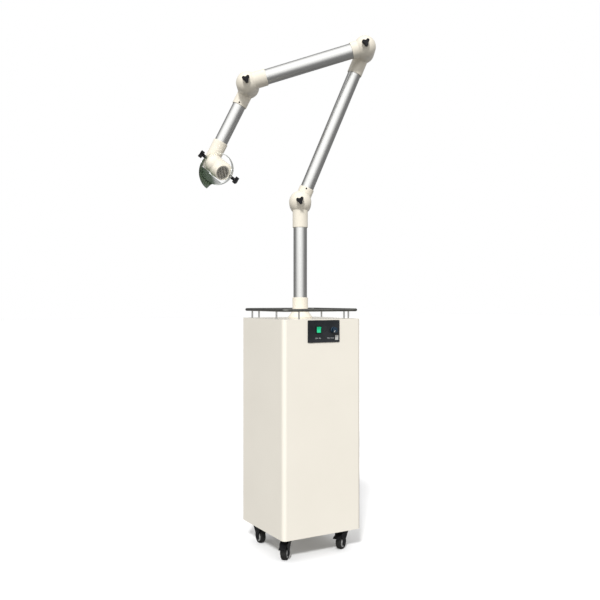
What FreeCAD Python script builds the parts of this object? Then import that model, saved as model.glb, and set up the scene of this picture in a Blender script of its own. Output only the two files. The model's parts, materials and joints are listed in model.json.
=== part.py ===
import FreeCAD, Part
import math
import os
import Sketcher

# Extraoral suction unit: a cabinet on casters with a three-elbow tube arm and a clear hood.
# Millimetres. The origin is on the floor under the middle of the cabinet, +Z is up and the
# control panel faces -Y.

Vector = FreeCAD.Vector
X_AXIS = Vector(1, 0, 0)
Y_AXIS = Vector(0, 1, 0)
Z_AXIS = Vector(0, 0, 1)

doc = FreeCAD.newDocument("SuctionUnit")
sheet = doc.addObject("Spreadsheet::Sheet", "sizes")
nodes = []


# Sizes that carry a number and the sheet expression it comes from

class Size:
    def __init__(self, value, text):
        self.value = value
        self.text = text

    def __add__(self, other):
        other = as_size(other)
        return Size(self.value + other.value, f"({self.text} + {other.text})")

    def __sub__(self, other):
        other = as_size(other)
        return Size(self.value - other.value, f"({self.text} - {other.text})")

    def __mul__(self, other):
        other = as_size(other)
        return Size(self.value * other.value, f"({self.text} * {other.text})")

    def __truediv__(self, other):
        other = as_size(other)
        return Size(self.value / other.value, f"({self.text} / {other.text})")

    def __neg__(self):
        return Size(-self.value, f"(0 - {self.text})")

    def __radd__(self, other):
        return as_size(other) + self

    def __rsub__(self, other):
        return as_size(other) - self

    def __rmul__(self, other):
        return as_size(other) * self


def as_size(value):
    if isinstance(value, Size):
        return value
    return Size(float(value), f"({float(value)!r})")


def sine(angle):
    return Size(math.sin(math.radians(angle.value)), f"sin({angle.text})")


def cosine(angle):
    return Size(math.cos(math.radians(angle.value)), f"cos({angle.text})")


def driving(alias, value):
    """Put one driving dimension in the next row of the sheet."""
    driving.row += 1
    sheet.set(f"A{driving.row}", alias.replace("_", " "))
    sheet.set(f"B{driving.row}", str(value))
    sheet.setAlias(f"B{driving.row}", alias)
    return Size(float(value), f"sizes.{alias}")


driving.row = 0


# Frames that carry a placement and its expression

class Frame:
    def __init__(self, placement, text):
        self.placement = placement
        self.text = text

    def __mul__(self, other):
        return Frame(self.placement * other.placement, f"{self.text} * {other.text}")


def shift(x=0, y=0, z=0):
    x, y, z = as_size(x), as_size(y), as_size(z)
    base = Vector(x.value, y.value, z.value)
    text = f"placement(vector({x.text}; {y.text}; {z.text}); rotation(vector(0; 0; 1); 0))"
    return Frame(FreeCAD.Placement(base, FreeCAD.Rotation()), text)


def turn(axis, angle):
    angle = as_size(angle)
    spin = FreeCAD.Rotation(axis, angle.value)
    words = f"vector({axis.x:g}; {axis.y:g}; {axis.z:g})"
    text = f"placement(vector(0; 0; 0); rotation({words}; {angle.text}))"
    return Frame(FreeCAD.Placement(Vector(), spin), text)


HERE = shift()


# Solids bound to the sheet

def bind(thing, name, size):
    thing.setExpression(name, as_size(size).text)


def place(thing, frame):
    thing.setExpression("Placement", frame.text)
    return thing


def solid(kind, frame, **bound):
    piece = doc.addObject("Part::" + kind, kind)
    for name, size in bound.items():
        bind(piece, name, size)
    return place(piece, frame)


def rod(radius, length, frame=HERE):
    """A cylinder along the frame's z, standing on its origin."""
    return solid("Cylinder", frame, Radius=radius, Height=length)


def block(x, y, z, frame=HERE):
    """A box standing on the frame's origin, centred in x and y."""
    x, y = as_size(x), as_size(y)
    return solid("Box", frame * shift(-x / 2, -y / 2, 0), Length=x, Width=y, Height=z)


def cone(low_radius, high_radius, length, frame=HERE):
    return solid("Cone", frame, Radius1=low_radius, Radius2=high_radius, Height=length)


def hexagon(radius, length, frame=HERE):
    piece = solid("Prism", frame, Circumradius=radius, Height=length)
    piece.Polygon = 6
    return piece


def ball(radius, frame=HERE):
    return solid("Sphere", frame, Radius=radius)


def dome(radius, frame=HERE):
    """Half a ball, on the frame's -z side."""
    piece = ball(radius, frame)
    piece.Angle1 = -90
    piece.Angle2 = 0
    return piece


def fuse(*pieces):
    if len(pieces) == 1:
        return pieces[0]
    joined = doc.addObject("Part::MultiFuse", "Joined")
    joined.Shapes = list(pieces)
    return joined


def cut(base, *tools):
    remainder = doc.addObject("Part::Cut", "Remainder")
    remainder.Base = base
    remainder.Tool = fuse(*tools)
    return remainder


def pipe(outer_radius, inner_radius, length, frame=HERE):
    return cut(rod(outer_radius, length, frame), rod(inner_radius, length, frame))


def node(label, piece, frame=None):
    """Name a finished sub-part and, where it was built at the origin, put it in its place."""
    if frame is not None:
        place(piece, frame)
    piece.Label = label
    nodes.append(piece)
    return piece


# Sketched bodies

def arc_between(start, end, radius):
    """The short arc from start to end; a positive radius turns left, a negative one right."""
    middle = (start + end) / 2
    chord = end - start
    reach = math.sqrt(radius ** 2 - (chord.Length / 2) ** 2)
    left = Vector(-chord.y, chord.x, 0).normalize()
    side = 1 if radius > 0 else -1
    centre = middle + left * reach * side
    first, last = (start, end) if radius > 0 else (end, start)
    angles = [math.atan2(p.y - centre.y, p.x - centre.x) for p in (first, last)]
    if angles[1] < angles[0]:
        angles[1] += 2 * math.pi
    return Part.ArcOfCircle(Part.Circle(centre, Z_AXIS, abs(radius)), angles[0], angles[1])


def hold(sketch, kind, places, size):
    """Add one dimension to a sketch and bind it to the sheet."""
    size = as_size(size)
    index = sketch.addConstraint(Sketcher.Constraint(kind, *places, size.value))
    sketch.setExpression(f"Constraints[{index}]", size.text)


def draw(sketch, corners):
    """Draw a closed outline through the corners (x, y, optional radius of the next stretch)."""
    corners = [tuple(as_size(value) for value in corner) for corner in corners]
    points = [Vector(corner[0].value, corner[1].value, 0) for corner in corners]
    ends = []
    first = sketch.GeometryCount
    for index, corner in enumerate(corners):
        start = points[index]
        end = points[(index + 1) % len(points)]
        if len(corner) == 3:
            sketch.addGeometry(arc_between(start, end, corner[2].value))
            ends.append((1, 2) if corner[2].value > 0 else (2, 1))
        else:
            sketch.addGeometry(Part.LineSegment(start, end))
            ends.append((1, 2))
    for index, corner in enumerate(corners):
        after = (index + 1) % len(corners)
        join = (first + index, ends[index][1], first + after, ends[after][0])
        sketch.addConstraint(Sketcher.Constraint("Coincident", *join))
    for index, corner in enumerate(corners):
        start = (-1, 1, first + index, ends[index][0])
        hold(sketch, "DistanceX", start, corner[0])
        hold(sketch, "DistanceY", start, corner[1])
        if len(corner) == 3:
            radius = corner[2] if corner[2].value > 0 else -corner[2]
            hold(sketch, "Radius", (first + index,), radius)


def sketched_body(plane, outlines):
    body = doc.addObject("PartDesign::Body", "Body")
    sketch = doc.addObject("Sketcher::SketchObject", "Outline")
    body.addObject(sketch)
    support = [part for part in body.Origin.OriginFeatures if plane in part.Name][0]
    sketch.AttachmentSupport = (support, [""])
    sketch.MapMode = "FlatFace"
    for corners in outlines:
        draw(sketch, corners)
    return body, sketch


def padded(outlines, length, frame=HERE):
    """A plate with its outline in the frame's x and y, standing on its origin."""
    body, sketch = sketched_body("XY_Plane", outlines)
    pad = doc.addObject("PartDesign::Pad", "Pad")
    body.addObject(pad)
    pad.Profile = sketch
    bind(pad, "Length", length)
    body.Tip = pad
    return place(body, frame)


def revolved(corners, frame=HERE):
    """A turned body: corners give the radius and the height along the frame's z."""
    body, sketch = sketched_body("XZ_Plane", [corners])
    spin = doc.addObject("PartDesign::Revolution", "Revolution")
    body.addObject(spin)
    spin.Profile = sketch
    spin.ReferenceAxis = (sketch, ["V_Axis"])
    spin.Angle = 360
    body.Tip = spin
    return place(body, frame)


def rounded_rectangle(width, depth, radius):
    right, back = width / 2, depth / 2
    return [
        (-right + radius, -back),
        (right - radius, -back, radius),
        (right, -back + radius),
        (right, back - radius, radius),
        (right - radius, back),
        (-right + radius, back, radius),
        (-right, back - radius),
        (-right, -back + radius, radius),
    ]


# Driving dimensions

cabinet_width = driving("cabinet_width", 320)
cabinet_depth = driving("cabinet_depth", 325)
cabinet_height = driving("cabinet_height", 758)
caster_height = driving("caster_height", 76)
corner_radius = driving("corner_radius", 15)
sheet_wall = driving("sheet_wall", 1.5)
top_thickness = driving("top_thickness", 2)
base_thickness = driving("base_thickness", 3)

rail_height = driving("rail_height", 31)
rail_rod = driving("rail_rod_diameter", 10.5)
rail_inset = driving("rail_inset", 10)
rail_corner = driving("rail_corner_radius", 14)
rail_post = driving("rail_post_diameter", 6)

flange_diameter = driving("flange_diameter", 88)
flange_height = driving("flange_height", 26)
collar_diameter = driving("collar_diameter", 57)
collar_height = driving("collar_height", 76)

panel_width = driving("panel_width", 130)
panel_height = driving("panel_height", 78)
panel_thickness = driving("panel_thickness", 3)
panel_drop = driving("panel_drop", 4)
switch_side = driving("switch_side", -21)
switch_drop = driving("switch_drop", 37)
rocker_tilt = driving("rocker_tilt", 7)
dial_side = driving("dial_side", 38)
dial_drop = driving("dial_drop", 39)
dial_diameter = driving("dial_diameter", 22)

tube_diameter = driving("tube_diameter", 50)
wide_tube_diameter = driving("wide_tube_diameter", 56)
tube_wall = driving("tube_wall", 2)
socket_wall = driving("socket_wall", 3)
elbow_radius = driving("elbow_radius", 41)
elbow_wall = driving("elbow_wall", 4)
tube_offset = driving("tube_offset", 64)
arm_yaw = driving("arm_yaw", -30)
elbow_height = driving("elbow_height", 1262)
lower_arm_length = driving("lower_arm_length", 619.5)
lower_arm_lean = driving("lower_arm_lean", 22.6)
upper_arm_length = driving("upper_arm_length", 453.6)
upper_arm_slope = driving("upper_arm_slope", 16.9)
forearm_length = driving("forearm_length", 320)
forearm_lean = driving("forearm_lean", 26.75)
forearm_visible = driving("forearm_visible_length", 230)

head_reach = driving("head_reach", 54.6)
head_radius = driving("head_radius", 33)
nozzle_wall = driving("nozzle_wall", 4)
neck_length = driving("neck_length", 62.75)
neck_pitch = driving("neck_pitch", 3.75)
neck_turn = driving("neck_turn", 46)
inlet_diameter = driving("inlet_diameter", 50)
inlet_wall = driving("inlet_wall", 3.5)
inlet_reach = driving("inlet_reach", 49)
inlet_turn = driving("inlet_turn", 40)
inlet_drop = driving("inlet_drop", 9)
hood_axis_turn = driving("hood_axis_turn", 78.7)
hood_tilt = driving("hood_tilt", 8)
hood_drop = driving("hood_drop", 6)
hood_radius = driving("hood_radius", 59)
hood_wall = driving("hood_wall", 2.5)
hood_reach = driving("hood_reach", 70.2)
hood_flare = driving("hood_flare", 23)

wheel_diameter = driving("wheel_diameter", 50)
wheel_width = driving("wheel_width", 22)
caster_inset = driving("caster_inset", 42)
caster_end_inset = driving("caster_end_inset", 54)
caster_trail = driving("caster_trail", 18)

running_gap = driving("running_gap", 0.05)
joint_gap = driving("joint_gap", 0.3)

base_z = caster_height
floor_z = base_z + base_thickness
top_z = base_z + cabinet_height
roof_z = top_z - top_thickness
front_y = -cabinet_depth / 2
back_y = cabinet_depth / 2
tube_radius = tube_diameter / 2

# Cutters reach this far, and joined pieces bite this deep into each other
tall = 400
through = 40
bite = 1


# Cabinet: base, wrap-round shell and top

bolt_radius = 3
bolt_room = 0.1
bolt_head_radius = 5
caster_bolt_pitch = 20
caster_plate_edge = 3
caster_plate_side = 2 * (caster_bolt_pitch + bolt_head_radius + caster_plate_edge)
caster_plate_thickness = 2.8

caster_places = {"fl": (-1, -1, -135), "fr": (1, -1, -150), "rl": (-1, 1, -90), "rr": (1, 1, -110)}
caster_x = cabinet_width / 2 - caster_inset
caster_y = cabinet_depth / 2 - caster_end_inset
corner_signs = [(-1, -1), (1, -1), (1, 1), (-1, 1)]


def caster_spot(name):
    side, end, heading = caster_places[name]
    return shift(caster_x * side, caster_y * end, 0)


def caster_bolt_spots(name):
    spot = caster_spot(name)
    return [spot * shift(caster_bolt_pitch * sx, caster_bolt_pitch * sy, 0) for sx, sy in corner_signs]


bolt_spots = [spot for name in caster_places for spot in caster_bolt_spots(name)]
cabinet_outline = rounded_rectangle(cabinet_width, cabinet_depth, corner_radius)

base_blank = padded([cabinet_outline], base_thickness, shift(0, 0, base_z))
base_holes = [rod(bolt_radius + bolt_room, tall, spot) for spot in bolt_spots]
node("base_plate", cut(base_blank, *base_holes))

inner_outline = rounded_rectangle(
    cabinet_width - 2 * sheet_wall, cabinet_depth - 2 * sheet_wall, corner_radius - sheet_wall)
shell_blank = padded([cabinet_outline, inner_outline], roof_z - floor_z, shift(0, 0, floor_z))

service_side = 30
service_foot = 64
service_head = 84
service_width = cabinet_width - 2 * service_side
service_height = cabinet_height - service_foot - service_head
service_z = base_z + service_foot
service_opening = block(service_width, through, service_height, shift(0, back_y, service_z))

ALONG_Y = turn(X_AXIS, -90)
ALONG_X = turn(Y_AXIS, 90)
switch_z = top_z - switch_drop
dial_z = top_z - dial_drop
switch_body_width = 18.6
switch_body_height = 23.6
switch_room = 0.2
bushing_radius = 3.6
switch_frame = shift(switch_side, front_y, switch_z)
dial_frame = shift(dial_side, front_y, dial_z)


def switch_window():
    height = switch_body_height + switch_room
    return block(switch_body_width + switch_room, through, height, switch_frame * shift(0, 0, -height / 2))


def dial_hole():
    return rod(bushing_radius + bolt_room, through, dial_frame * shift(0, -through / 2, 0) * ALONG_Y)


screw_radius = 2
screw_tip = 6
rear_margin = 9
screw_side = service_width / 2 + rear_margin
screw_rows = 4
screw_spots = []
for side in (-1, 1):
    for row in range(screw_rows):
        rise = service_height * row / (screw_rows - 1)
        screw_spots.append(shift(screw_side * side, back_y - screw_tip, service_z + rise) * ALONG_Y)

shell_screw_holes = [rod(screw_radius + bolt_room, through, spot) for spot in screw_spots]
node("cabinet_shell", cut(
    shell_blank, service_opening, switch_window(), dial_hole(), *shell_screw_holes))

duct_radius = 24
air_bore = duct_radius - 1
flange_bolt_circle = 37
first_bolt_angle = 45
flange_bolt_spots = [
    turn(Z_AXIS, first_bolt_angle + 90 * step) * shift(flange_bolt_circle, 0, 0) for step in range(4)]
top_blank = padded([cabinet_outline], top_thickness, shift(0, 0, roof_z))
top_holes = [rod(bolt_radius + bolt_room, 2 * top_z, spot) for spot in flange_bolt_spots]
node("top_plate", cut(top_blank, rod(duct_radius, 2 * top_z), *top_holes))


# Louvred rear panel

rear_thickness = 1.5
rear_overlap = 18
rear_width = service_width + 2 * rear_overlap
rear_height = service_height + 2 * rear_overlap
rear_frame = shift(0, back_y + rear_thickness / 2, service_z - rear_overlap)
slot_width = 78
slot_height = 6
slot_pitch = 15
slot_side = 55
upper_slots_drop = 290
upper_slots = 10
lower_slots_rise = 140
lower_slots = 6
slot_rows = {
    "upper": (cabinet_height - upper_slots_drop, upper_slots),
    "lower": (lower_slots_rise, lower_slots),
}

inlet_width = 27.6
inlet_height = 20
inlet_z = 34
inlet_share = 0.27
inlet_frame = shift(cabinet_width * inlet_share, back_y + rear_thickness, service_z + inlet_z)

louvres = []
for start, count in slot_rows.values():
    for row in range(count):
        for side in (-1, 1):
            spot = shift(slot_side * side, back_y, base_z + start + slot_pitch * row)
            louvres.append(block(slot_width, through, slot_height, spot))

rear_blank = block(rear_width, rear_thickness, rear_height, rear_frame)
inlet_window = block(inlet_width + switch_room, through, inlet_height + switch_room,
                     inlet_frame * shift(0, 0, -inlet_height / 2 - switch_room / 2))
panel_screw_holes = [rod(screw_radius + bolt_room, through, spot) for spot in screw_spots]
node("rear_panel", cut(rear_blank, inlet_window, *louvres, *panel_screw_holes))

screw_head_radius = 4
screw_head_height = 2.5
screw_head_taper = 1.5
screw_reach = screw_tip + rear_thickness
cabinet_screws = []
for spot in screw_spots:
    cabinet_screws.append(rod(screw_radius, screw_reach + bite, spot))
    cabinet_screws.append(cone(screw_head_radius, screw_head_radius - screw_head_taper, screw_head_height,
                               spot * shift(0, 0, screw_reach)))


# Mains inlet, a recess with three prongs

inlet_lip = 2
inlet_depth = 18
recess_depth = 16
inlet_flange_width = 34
inlet_flange_height = 26
recess_width = 24
recess_height = 16.5
prong_width = 2
prong_height = 4
prong_length = 9
prong_pitch = 7
prong_step = 2
inlet_flange = block(inlet_flange_width, inlet_lip, inlet_flange_height,
                     inlet_frame * shift(0, inlet_lip / 2, -inlet_flange_height / 2))
inlet_body = block(inlet_width, inlet_depth, inlet_height,
                   inlet_frame * shift(0, -inlet_depth / 2, -inlet_height / 2))
recess = block(recess_width, recess_depth + inlet_lip, recess_height,
               inlet_frame * shift(0, inlet_lip - (recess_depth + inlet_lip) / 2, -recess_height / 2))
prongs = []
for side, rise in ((-1, -1), (0, 1), (1, -1)):
    middle = (prong_length - bite) / 2 - recess_depth
    spot = inlet_frame * shift(prong_pitch * side, middle, prong_step * rise - prong_height / 2)
    prongs.append(block(prong_width, prong_length + bite, prong_height, spot))
node("power_inlet", fuse(cut(fuse(inlet_flange, inlet_body), recess), *prongs))


# Gallery rail round the top

rail_radius = rail_rod / 2
rail_z = top_z + rail_height
rail_x = cabinet_width / 2 - rail_inset
rail_y = cabinet_depth / 2 - rail_inset
rail_frame = shift(0, 0, rail_z)
rail_straight_x = 2 * (rail_x - rail_corner)
rail_straight_y = 2 * (rail_y - rail_corner)
rail_pieces = []
for side in (-1, 1):
    along_x = rail_frame * shift(-rail_straight_x / 2, rail_y * side, 0) * ALONG_X
    along_y = rail_frame * shift(rail_x * side, -rail_straight_y / 2, 0) * ALONG_Y
    rail_pieces.append(rod(rail_radius, rail_straight_x, along_x))
    rail_pieces.append(rod(rail_radius, rail_straight_y, along_y))
for quarter, (sx, sy) in enumerate(((1, 1), (-1, 1), (-1, -1), (1, -1))):
    centre = rail_frame * shift((rail_x - rail_corner) * sx, (rail_y - rail_corner) * sy, 0)
    bend = solid("Torus", centre * turn(Z_AXIS, 90 * quarter), Radius1=rail_corner, Radius2=rail_radius)
    bend.Angle3 = 90
    rail_pieces.append(bend)
rail = node("gallery_rail", fuse(*rail_pieces))

post_share = 0.62
post_spots = []
for side in (-1, 1):
    for step in (-1, 1):
        post_spots.append(shift(rail_x * step * post_share, rail_y * side, top_z))
        post_spots.append(shift(rail_x * side, rail_y * step * post_share, top_z))
posts = [rod(rail_post / 2, rail_height, spot) for spot in post_spots]
node("rail_posts", cut(fuse(*posts), rail))


# Post flange, its bolts and the swivel bush

collar_radius = collar_diameter / 2
collar_wall = 2
bush_radius = collar_radius - collar_wall
flange_floor = 2
flange_rim = 6
bush_lip = 3
flange_frame = shift(0, 0, top_z)
skirt_height = flange_height - flange_rim
flange_outer = fuse(
    rod(flange_diameter / 2, flange_rim, flange_frame),
    cone(flange_diameter / 2, collar_radius, skirt_height, flange_frame * shift(0, 0, flange_rim)),
    rod(collar_radius, collar_height, flange_frame))
bolt_depth = 4
bolt_end_room = 0.5
flange_bolt_holes = [rod(bolt_radius + bolt_room, bolt_depth + bolt_end_room, flange_frame * spot)
                     for spot in flange_bolt_spots]
node("arm_flange", cut(
    flange_outer,
    rod(air_bore, collar_height, flange_frame),
    rod(bush_radius, collar_height, flange_frame * shift(0, 0, flange_floor)),
    *flange_bolt_holes))

bolt_head_height = 3.5
for spot in flange_bolt_spots:
    under = shift(0, 0, roof_z - bolt_head_height) * spot
    cabinet_screws.append(rod(bolt_radius, bolt_head_height + top_thickness + bolt_depth, under))
    cabinet_screws.append(hexagon(bolt_head_radius, bolt_head_height, under))
node("cabinet_screws", fuse(*cabinet_screws))

bush_frame = shift(0, 0, top_z + flange_floor)
bush_height = collar_height - flange_floor
bush_bore = rod(tube_radius + running_gap, bush_height, bush_frame * shift(0, 0, bush_lip))
node("swivel_bush", cut(
    rod(bush_radius, bush_height, bush_frame),
    rod(air_bore, bush_height, bush_frame),
    bush_bore))


# Control panel with its switch and dial

panel_side = 1
panel_frame = shift(panel_side, front_y - panel_thickness / 2, top_z - panel_drop - panel_height)
panel_blank = block(panel_width, panel_thickness, panel_height, panel_frame)
node("control_panel", cut(panel_blank, switch_window(), dial_hole()))

bezel_lip = 2
bezel_margin = 1.7
switch_depth = 26
pocket_depth = 12
rocker_width = 16
rocker_height = 20
rocker_room = 0.3
rocker_swing_room = 1.6
pivot_radius = 1.5
pivot_reach = 1
pivot_end_room = 0.2
panel_face = front_y - panel_thickness
switch_face = shift(switch_side, panel_face, switch_z)
bezel_width = switch_body_width + 2 * bezel_margin
bezel_height = switch_body_height + 2 * bezel_margin
bezel = block(bezel_width, bezel_lip, bezel_height,
              switch_face * shift(0, -bezel_lip / 2, -bezel_height / 2))
switch_body = block(switch_body_width, switch_depth, switch_body_height,
                    switch_face * shift(0, switch_depth / 2, -switch_body_height / 2))
pocket_width = rocker_width + 2 * rocker_room
pocket_height = rocker_height + rocker_swing_room
pocket = block(pocket_width, pocket_depth + bezel_lip, pocket_height,
               switch_face * shift(0, (pocket_depth - bezel_lip) / 2, -pocket_height / 2))
rocker_depth = 2
rocker_frame = switch_face * shift(0, rocker_depth, 0) * turn(X_AXIS, rocker_tilt)
pivot_span = rocker_width + 2 * pivot_reach
pivot_room = pivot_span + pivot_end_room
pivot_holes = rod(pivot_radius + running_gap, pivot_room,
                  rocker_frame * shift(-pivot_room / 2, 0, 0) * ALONG_X)
node("switch_housing", cut(fuse(bezel, switch_body), pocket, pivot_holes))

# The rocker's side outline: a shallow hollow on the front between two raised ends
rocker_half = rocker_height / 2
rocker_back = 3
rocker_ends = 6.5
rocker_middle = 4.5
rocker_outline = [
    (-rocker_half, -rocker_back),
    (rocker_half, -rocker_back),
    (rocker_half, rocker_ends),
    (0, rocker_middle),
    (-rocker_half, rocker_ends),
]
rocker_upright = turn(Y_AXIS, 90) * turn(Z_AXIS, 180)
rocker_cap = padded([rocker_outline], rocker_width, rocker_upright * shift(0, 0, -rocker_width / 2))
rocker_pins = rod(pivot_radius, pivot_span, shift(-pivot_span / 2, 0, 0) * ALONG_X)
node("rocker_switch", fuse(rocker_cap, rocker_pins), rocker_frame)

shaft_radius = 3
dial_body_radius = 10
dial_body_depth = 14
dial_inside = shift(dial_side, front_y + sheet_wall, dial_z) * ALONG_Y
dial_face = shift(dial_side, panel_face, dial_z) * turn(X_AXIS, 90)
nut_height = 2
nut_radius = 6
bore_floor = 2
bushing_reach = panel_thickness + sheet_wall + nut_height
dial_bore = shaft_radius + running_gap
dial_parts = fuse(
    rod(dial_body_radius, dial_body_depth, dial_inside),
    rod(bushing_radius, bushing_reach, dial_inside * turn(X_AXIS, 180)),
    hexagon(nut_radius, nut_height, dial_face))
bore_start = dial_inside * shift(0, 0, dial_body_depth - bore_floor)
node("speed_potentiometer", cut(dial_parts, rod(dial_bore, through, bore_start * turn(X_AXIS, 180))))

dial_gap = nut_height + joint_gap
dial_height = 14
dial_radius = dial_diameter / 2
shaft_length = 14
dial_skirt = 3
dial_step = 1
dial_taper = 1
pointer_width = 1.6
pointer_margin = 3
pointer_height = 1
pointer_angle = 145
dial_frame_out = dial_face * shift(0, 0, dial_gap)
dial_cap = fuse(
    rod(dial_radius, dial_skirt, dial_frame_out),
    cone(dial_radius - dial_step, dial_radius - dial_step - dial_taper, dial_height - dial_skirt,
         dial_frame_out * shift(0, 0, dial_skirt)))
pointer_spot = turn(Z_AXIS, pointer_angle) * shift(0, dial_radius / 2, dial_height - pointer_height / 2)
pointer_length = dial_radius - pointer_margin
dial_pointer = block(pointer_width, pointer_length, pointer_height, dial_frame_out * pointer_spot)
dial_shaft = rod(shaft_radius, shaft_length, dial_frame_out * turn(X_AXIS, 180))
node("speed_knob", fuse(dial_cap, dial_pointer, dial_shaft))


# Control board behind the panel

board_width = 110
board_height = 80
board_thickness = 1.6
standoff_length = 15
standoff_radius = 3
standoff_margin = 6
board_drop = 130
board_z = top_z - panel_height - board_drop
board_y = front_y + sheet_wall + standoff_length
board = block(board_width, board_thickness, board_height,
              shift(0, board_y + board_thickness / 2, board_z))
board_back = board_y + board_thickness


def soldered_box(width, depth, height, side, rise):
    """A box on the rear of the board."""
    return block(width, depth, height, shift(side, board_back + depth / 2, board_z + rise))


def soldered_can(radius, length, side, rise):
    """A round can standing on the rear of the board."""
    return rod(radius, length, shift(side, board_back, board_z + rise) * ALONG_Y)


relay = soldered_box(width=28, depth=14, height=20, side=-30, rise=12)
heat_sink = soldered_box(width=36, depth=12, height=30, side=24, rise=40)
capacitor = soldered_can(radius=7, length=16, side=-32, rise=56)
node("control_board", fuse(board, relay, heat_sink, capacitor))

standoffs = []
for sx, sz in corner_signs:
    spot = shift((board_width / 2 - standoff_margin) * sx, front_y + sheet_wall,
                 board_z + board_height / 2 + (board_height / 2 - standoff_margin) * sz)
    standoffs.append(rod(standoff_radius, standoff_length, spot * ALONG_Y))
node("board_standoffs", fuse(*standoffs))


# Blower: motor under a scroll housing, wheel inside

leg_length = 111
scroll_z = floor_z + leg_length
scroll_radius = 120
scroll_height = 90
scroll_wall = 3
scroll_frame = shift(0, 0, scroll_z)
outlet_width = 86
outlet_height = 80
outlet_margin = 4
outlet_rise = 5
outlet_end = 6
outlet_x = scroll_radius - outlet_width / 2 - outlet_margin
outlet_reach = back_y - sheet_wall - outlet_end
outlet_frame = scroll_frame * shift(outlet_x, outlet_reach / 2, outlet_rise)
scroll_outer = fuse(
    rod(scroll_radius, scroll_height, scroll_frame),
    block(outlet_width, outlet_reach, outlet_height, outlet_frame))
eye_radius = 52
shaft_hole_radius = 12
scroll_cavity = rod(scroll_radius - scroll_wall, scroll_height - 2 * scroll_wall,
                    scroll_frame * shift(0, 0, scroll_wall))
outlet_mouth = outlet_frame * shift(0, bite, scroll_wall)
outlet_cavity = block(outlet_width - 2 * scroll_wall, outlet_reach + 2 * bite,
                      outlet_height - 2 * scroll_wall, outlet_mouth)
node("blower_housing", cut(
    scroll_outer,
    scroll_cavity,
    outlet_cavity,
    rod(eye_radius, scroll_height, scroll_frame * shift(0, 0, scroll_height / 2)),
    rod(shaft_hole_radius, scroll_height / 2, scroll_frame)))

leg_to_bolt_row = 13.5
leg_pitch = caster_y - caster_bolt_pitch - leg_to_bolt_row
leg_radius = 10
pad_radius = 16
pad_height = 12
feet = []
for sx, sy in corner_signs:
    spot = shift(leg_pitch * sx, leg_pitch * sy, floor_z)
    feet.append(rod(leg_radius, leg_length, spot))
    feet.append(rod(pad_radius, pad_height, spot))
node("blower_feet", fuse(*feet))

motor_radius = 55
motor_height = 92
motor_flange = 3
motor_flange_margin = 5
wheel_shaft = 6
motor_frame = scroll_frame * turn(X_AXIS, 180)
shaft_depth = 70
motor_outer = fuse(
    rod(motor_radius, motor_height, motor_frame),
    rod(motor_radius + motor_flange_margin, motor_flange, motor_frame))
node("blower_motor", cut(motor_outer, rod(wheel_shaft + running_gap, shaft_depth + bore_floor, motor_frame)))

fan_radius = 95
fan_eye = 60
fan_floor = 15
fan_plate = 3
blade_height = 47
blade_count = 24
blade_thickness = 2
blade_lean = 20
blade_margin = 4
blade_chord = fan_radius - fan_eye - blade_margin
fan_ring = 2
hub_radius = 14
hub_height = 45
fan_frame = scroll_frame * shift(0, 0, fan_floor)
fan_parts = [
    rod(fan_radius, fan_plate, fan_frame),
    rod(hub_radius, hub_height, fan_frame),
    rod(wheel_shaft, fan_floor + shaft_depth, fan_frame * turn(X_AXIS, 180)),
    pipe(fan_radius, fan_eye, fan_ring, fan_frame * shift(0, 0, fan_plate + blade_height)),
]
for step in range(blade_count):
    spot = fan_frame * turn(Z_AXIS, 360 * step / blade_count)
    lean = shift((fan_radius + fan_eye) / 2, 0, fan_plate - bite / 2) * turn(Z_AXIS, blade_lean)
    fan_parts.append(block(blade_chord, blade_thickness, blade_height + bite, spot * lean))
node("blower_impeller", fuse(*fan_parts))


# Filter stack above the blower, and the duct from the arm

filter_side = 236
filter_wall = 3
neck_height = 20
filter_z = scroll_z + scroll_height + neck_height
duct_length = 132
filter_height = roof_z - duct_length - filter_z
filter_frame = shift(0, 0, filter_z)
ledge_width = 15
ledge_thickness = 4
slab_room = 1
slab_side = filter_side - 2 * filter_wall - 2 * slab_room
throat_radius = 50
throat_wall = 5
# Each slab: the height of its ledge as a share of the box, and its depth
filter_slabs = {"carbon_filter": (0.19, 80), "hepa_filter": (0.44, 120), "pre_filter": (0.79, 25)}
box_inside = filter_side - 2 * filter_wall
box_wall = cut(
    fuse(block(filter_side, filter_side, filter_height, filter_frame),
         rod(throat_radius + throat_wall, neck_height, filter_frame * turn(X_AXIS, 180))),
    block(box_inside, box_inside, filter_height - 2 * filter_wall,
          filter_frame * shift(0, 0, filter_wall)),
    rod(throat_radius, neck_height + filter_wall + bite, filter_frame * shift(0, 0, -neck_height)),
    rod(duct_radius, through, filter_frame * shift(0, 0, filter_height - through / 2)))
ledges = []
for share, depth in filter_slabs.values():
    shelf = filter_frame * shift(0, 0, filter_height * share - ledge_thickness)
    window = box_inside - 2 * ledge_width
    ledges.append(cut(block(box_inside + bite, box_inside + bite, ledge_thickness, shelf),
                      block(window, window, ledge_thickness, shelf)))
node("filter_housing", fuse(box_wall, *ledges))
for label, (share, depth) in filter_slabs.items():
    node(label, block(slab_side, slab_side, depth, filter_frame * shift(0, 0, filter_height * share)))

duct_wall = 3
duct_foot_radius = 40
duct_head_radius = 31
duct_flange = 3
duct_z = filter_z + filter_height
duct_frame = shift(0, 0, duct_z)
duct_outer = fuse(
    rod(duct_radius + duct_wall, duct_length, duct_frame),
    rod(duct_foot_radius, duct_flange, duct_frame),
    rod(duct_head_radius, duct_flange, duct_frame * shift(0, 0, duct_length - duct_flange)))
node("intake_duct", cut(duct_outer, rod(duct_radius, duct_length, duct_frame)))


# Casters: plate and kingpin, fork with axle, wheel, brake pedal

plate_z = base_z - caster_plate_thickness
crown_top = plate_z - joint_gap
crown_depth = 14
crown_low = plate_z - crown_depth
kingpin_radius = 5
kingpin_head_radius = 8
kingpin_head = 3
kingpin_room = 0.06
crown_radius = 19
wheel_radius = wheel_diameter / 2

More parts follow.
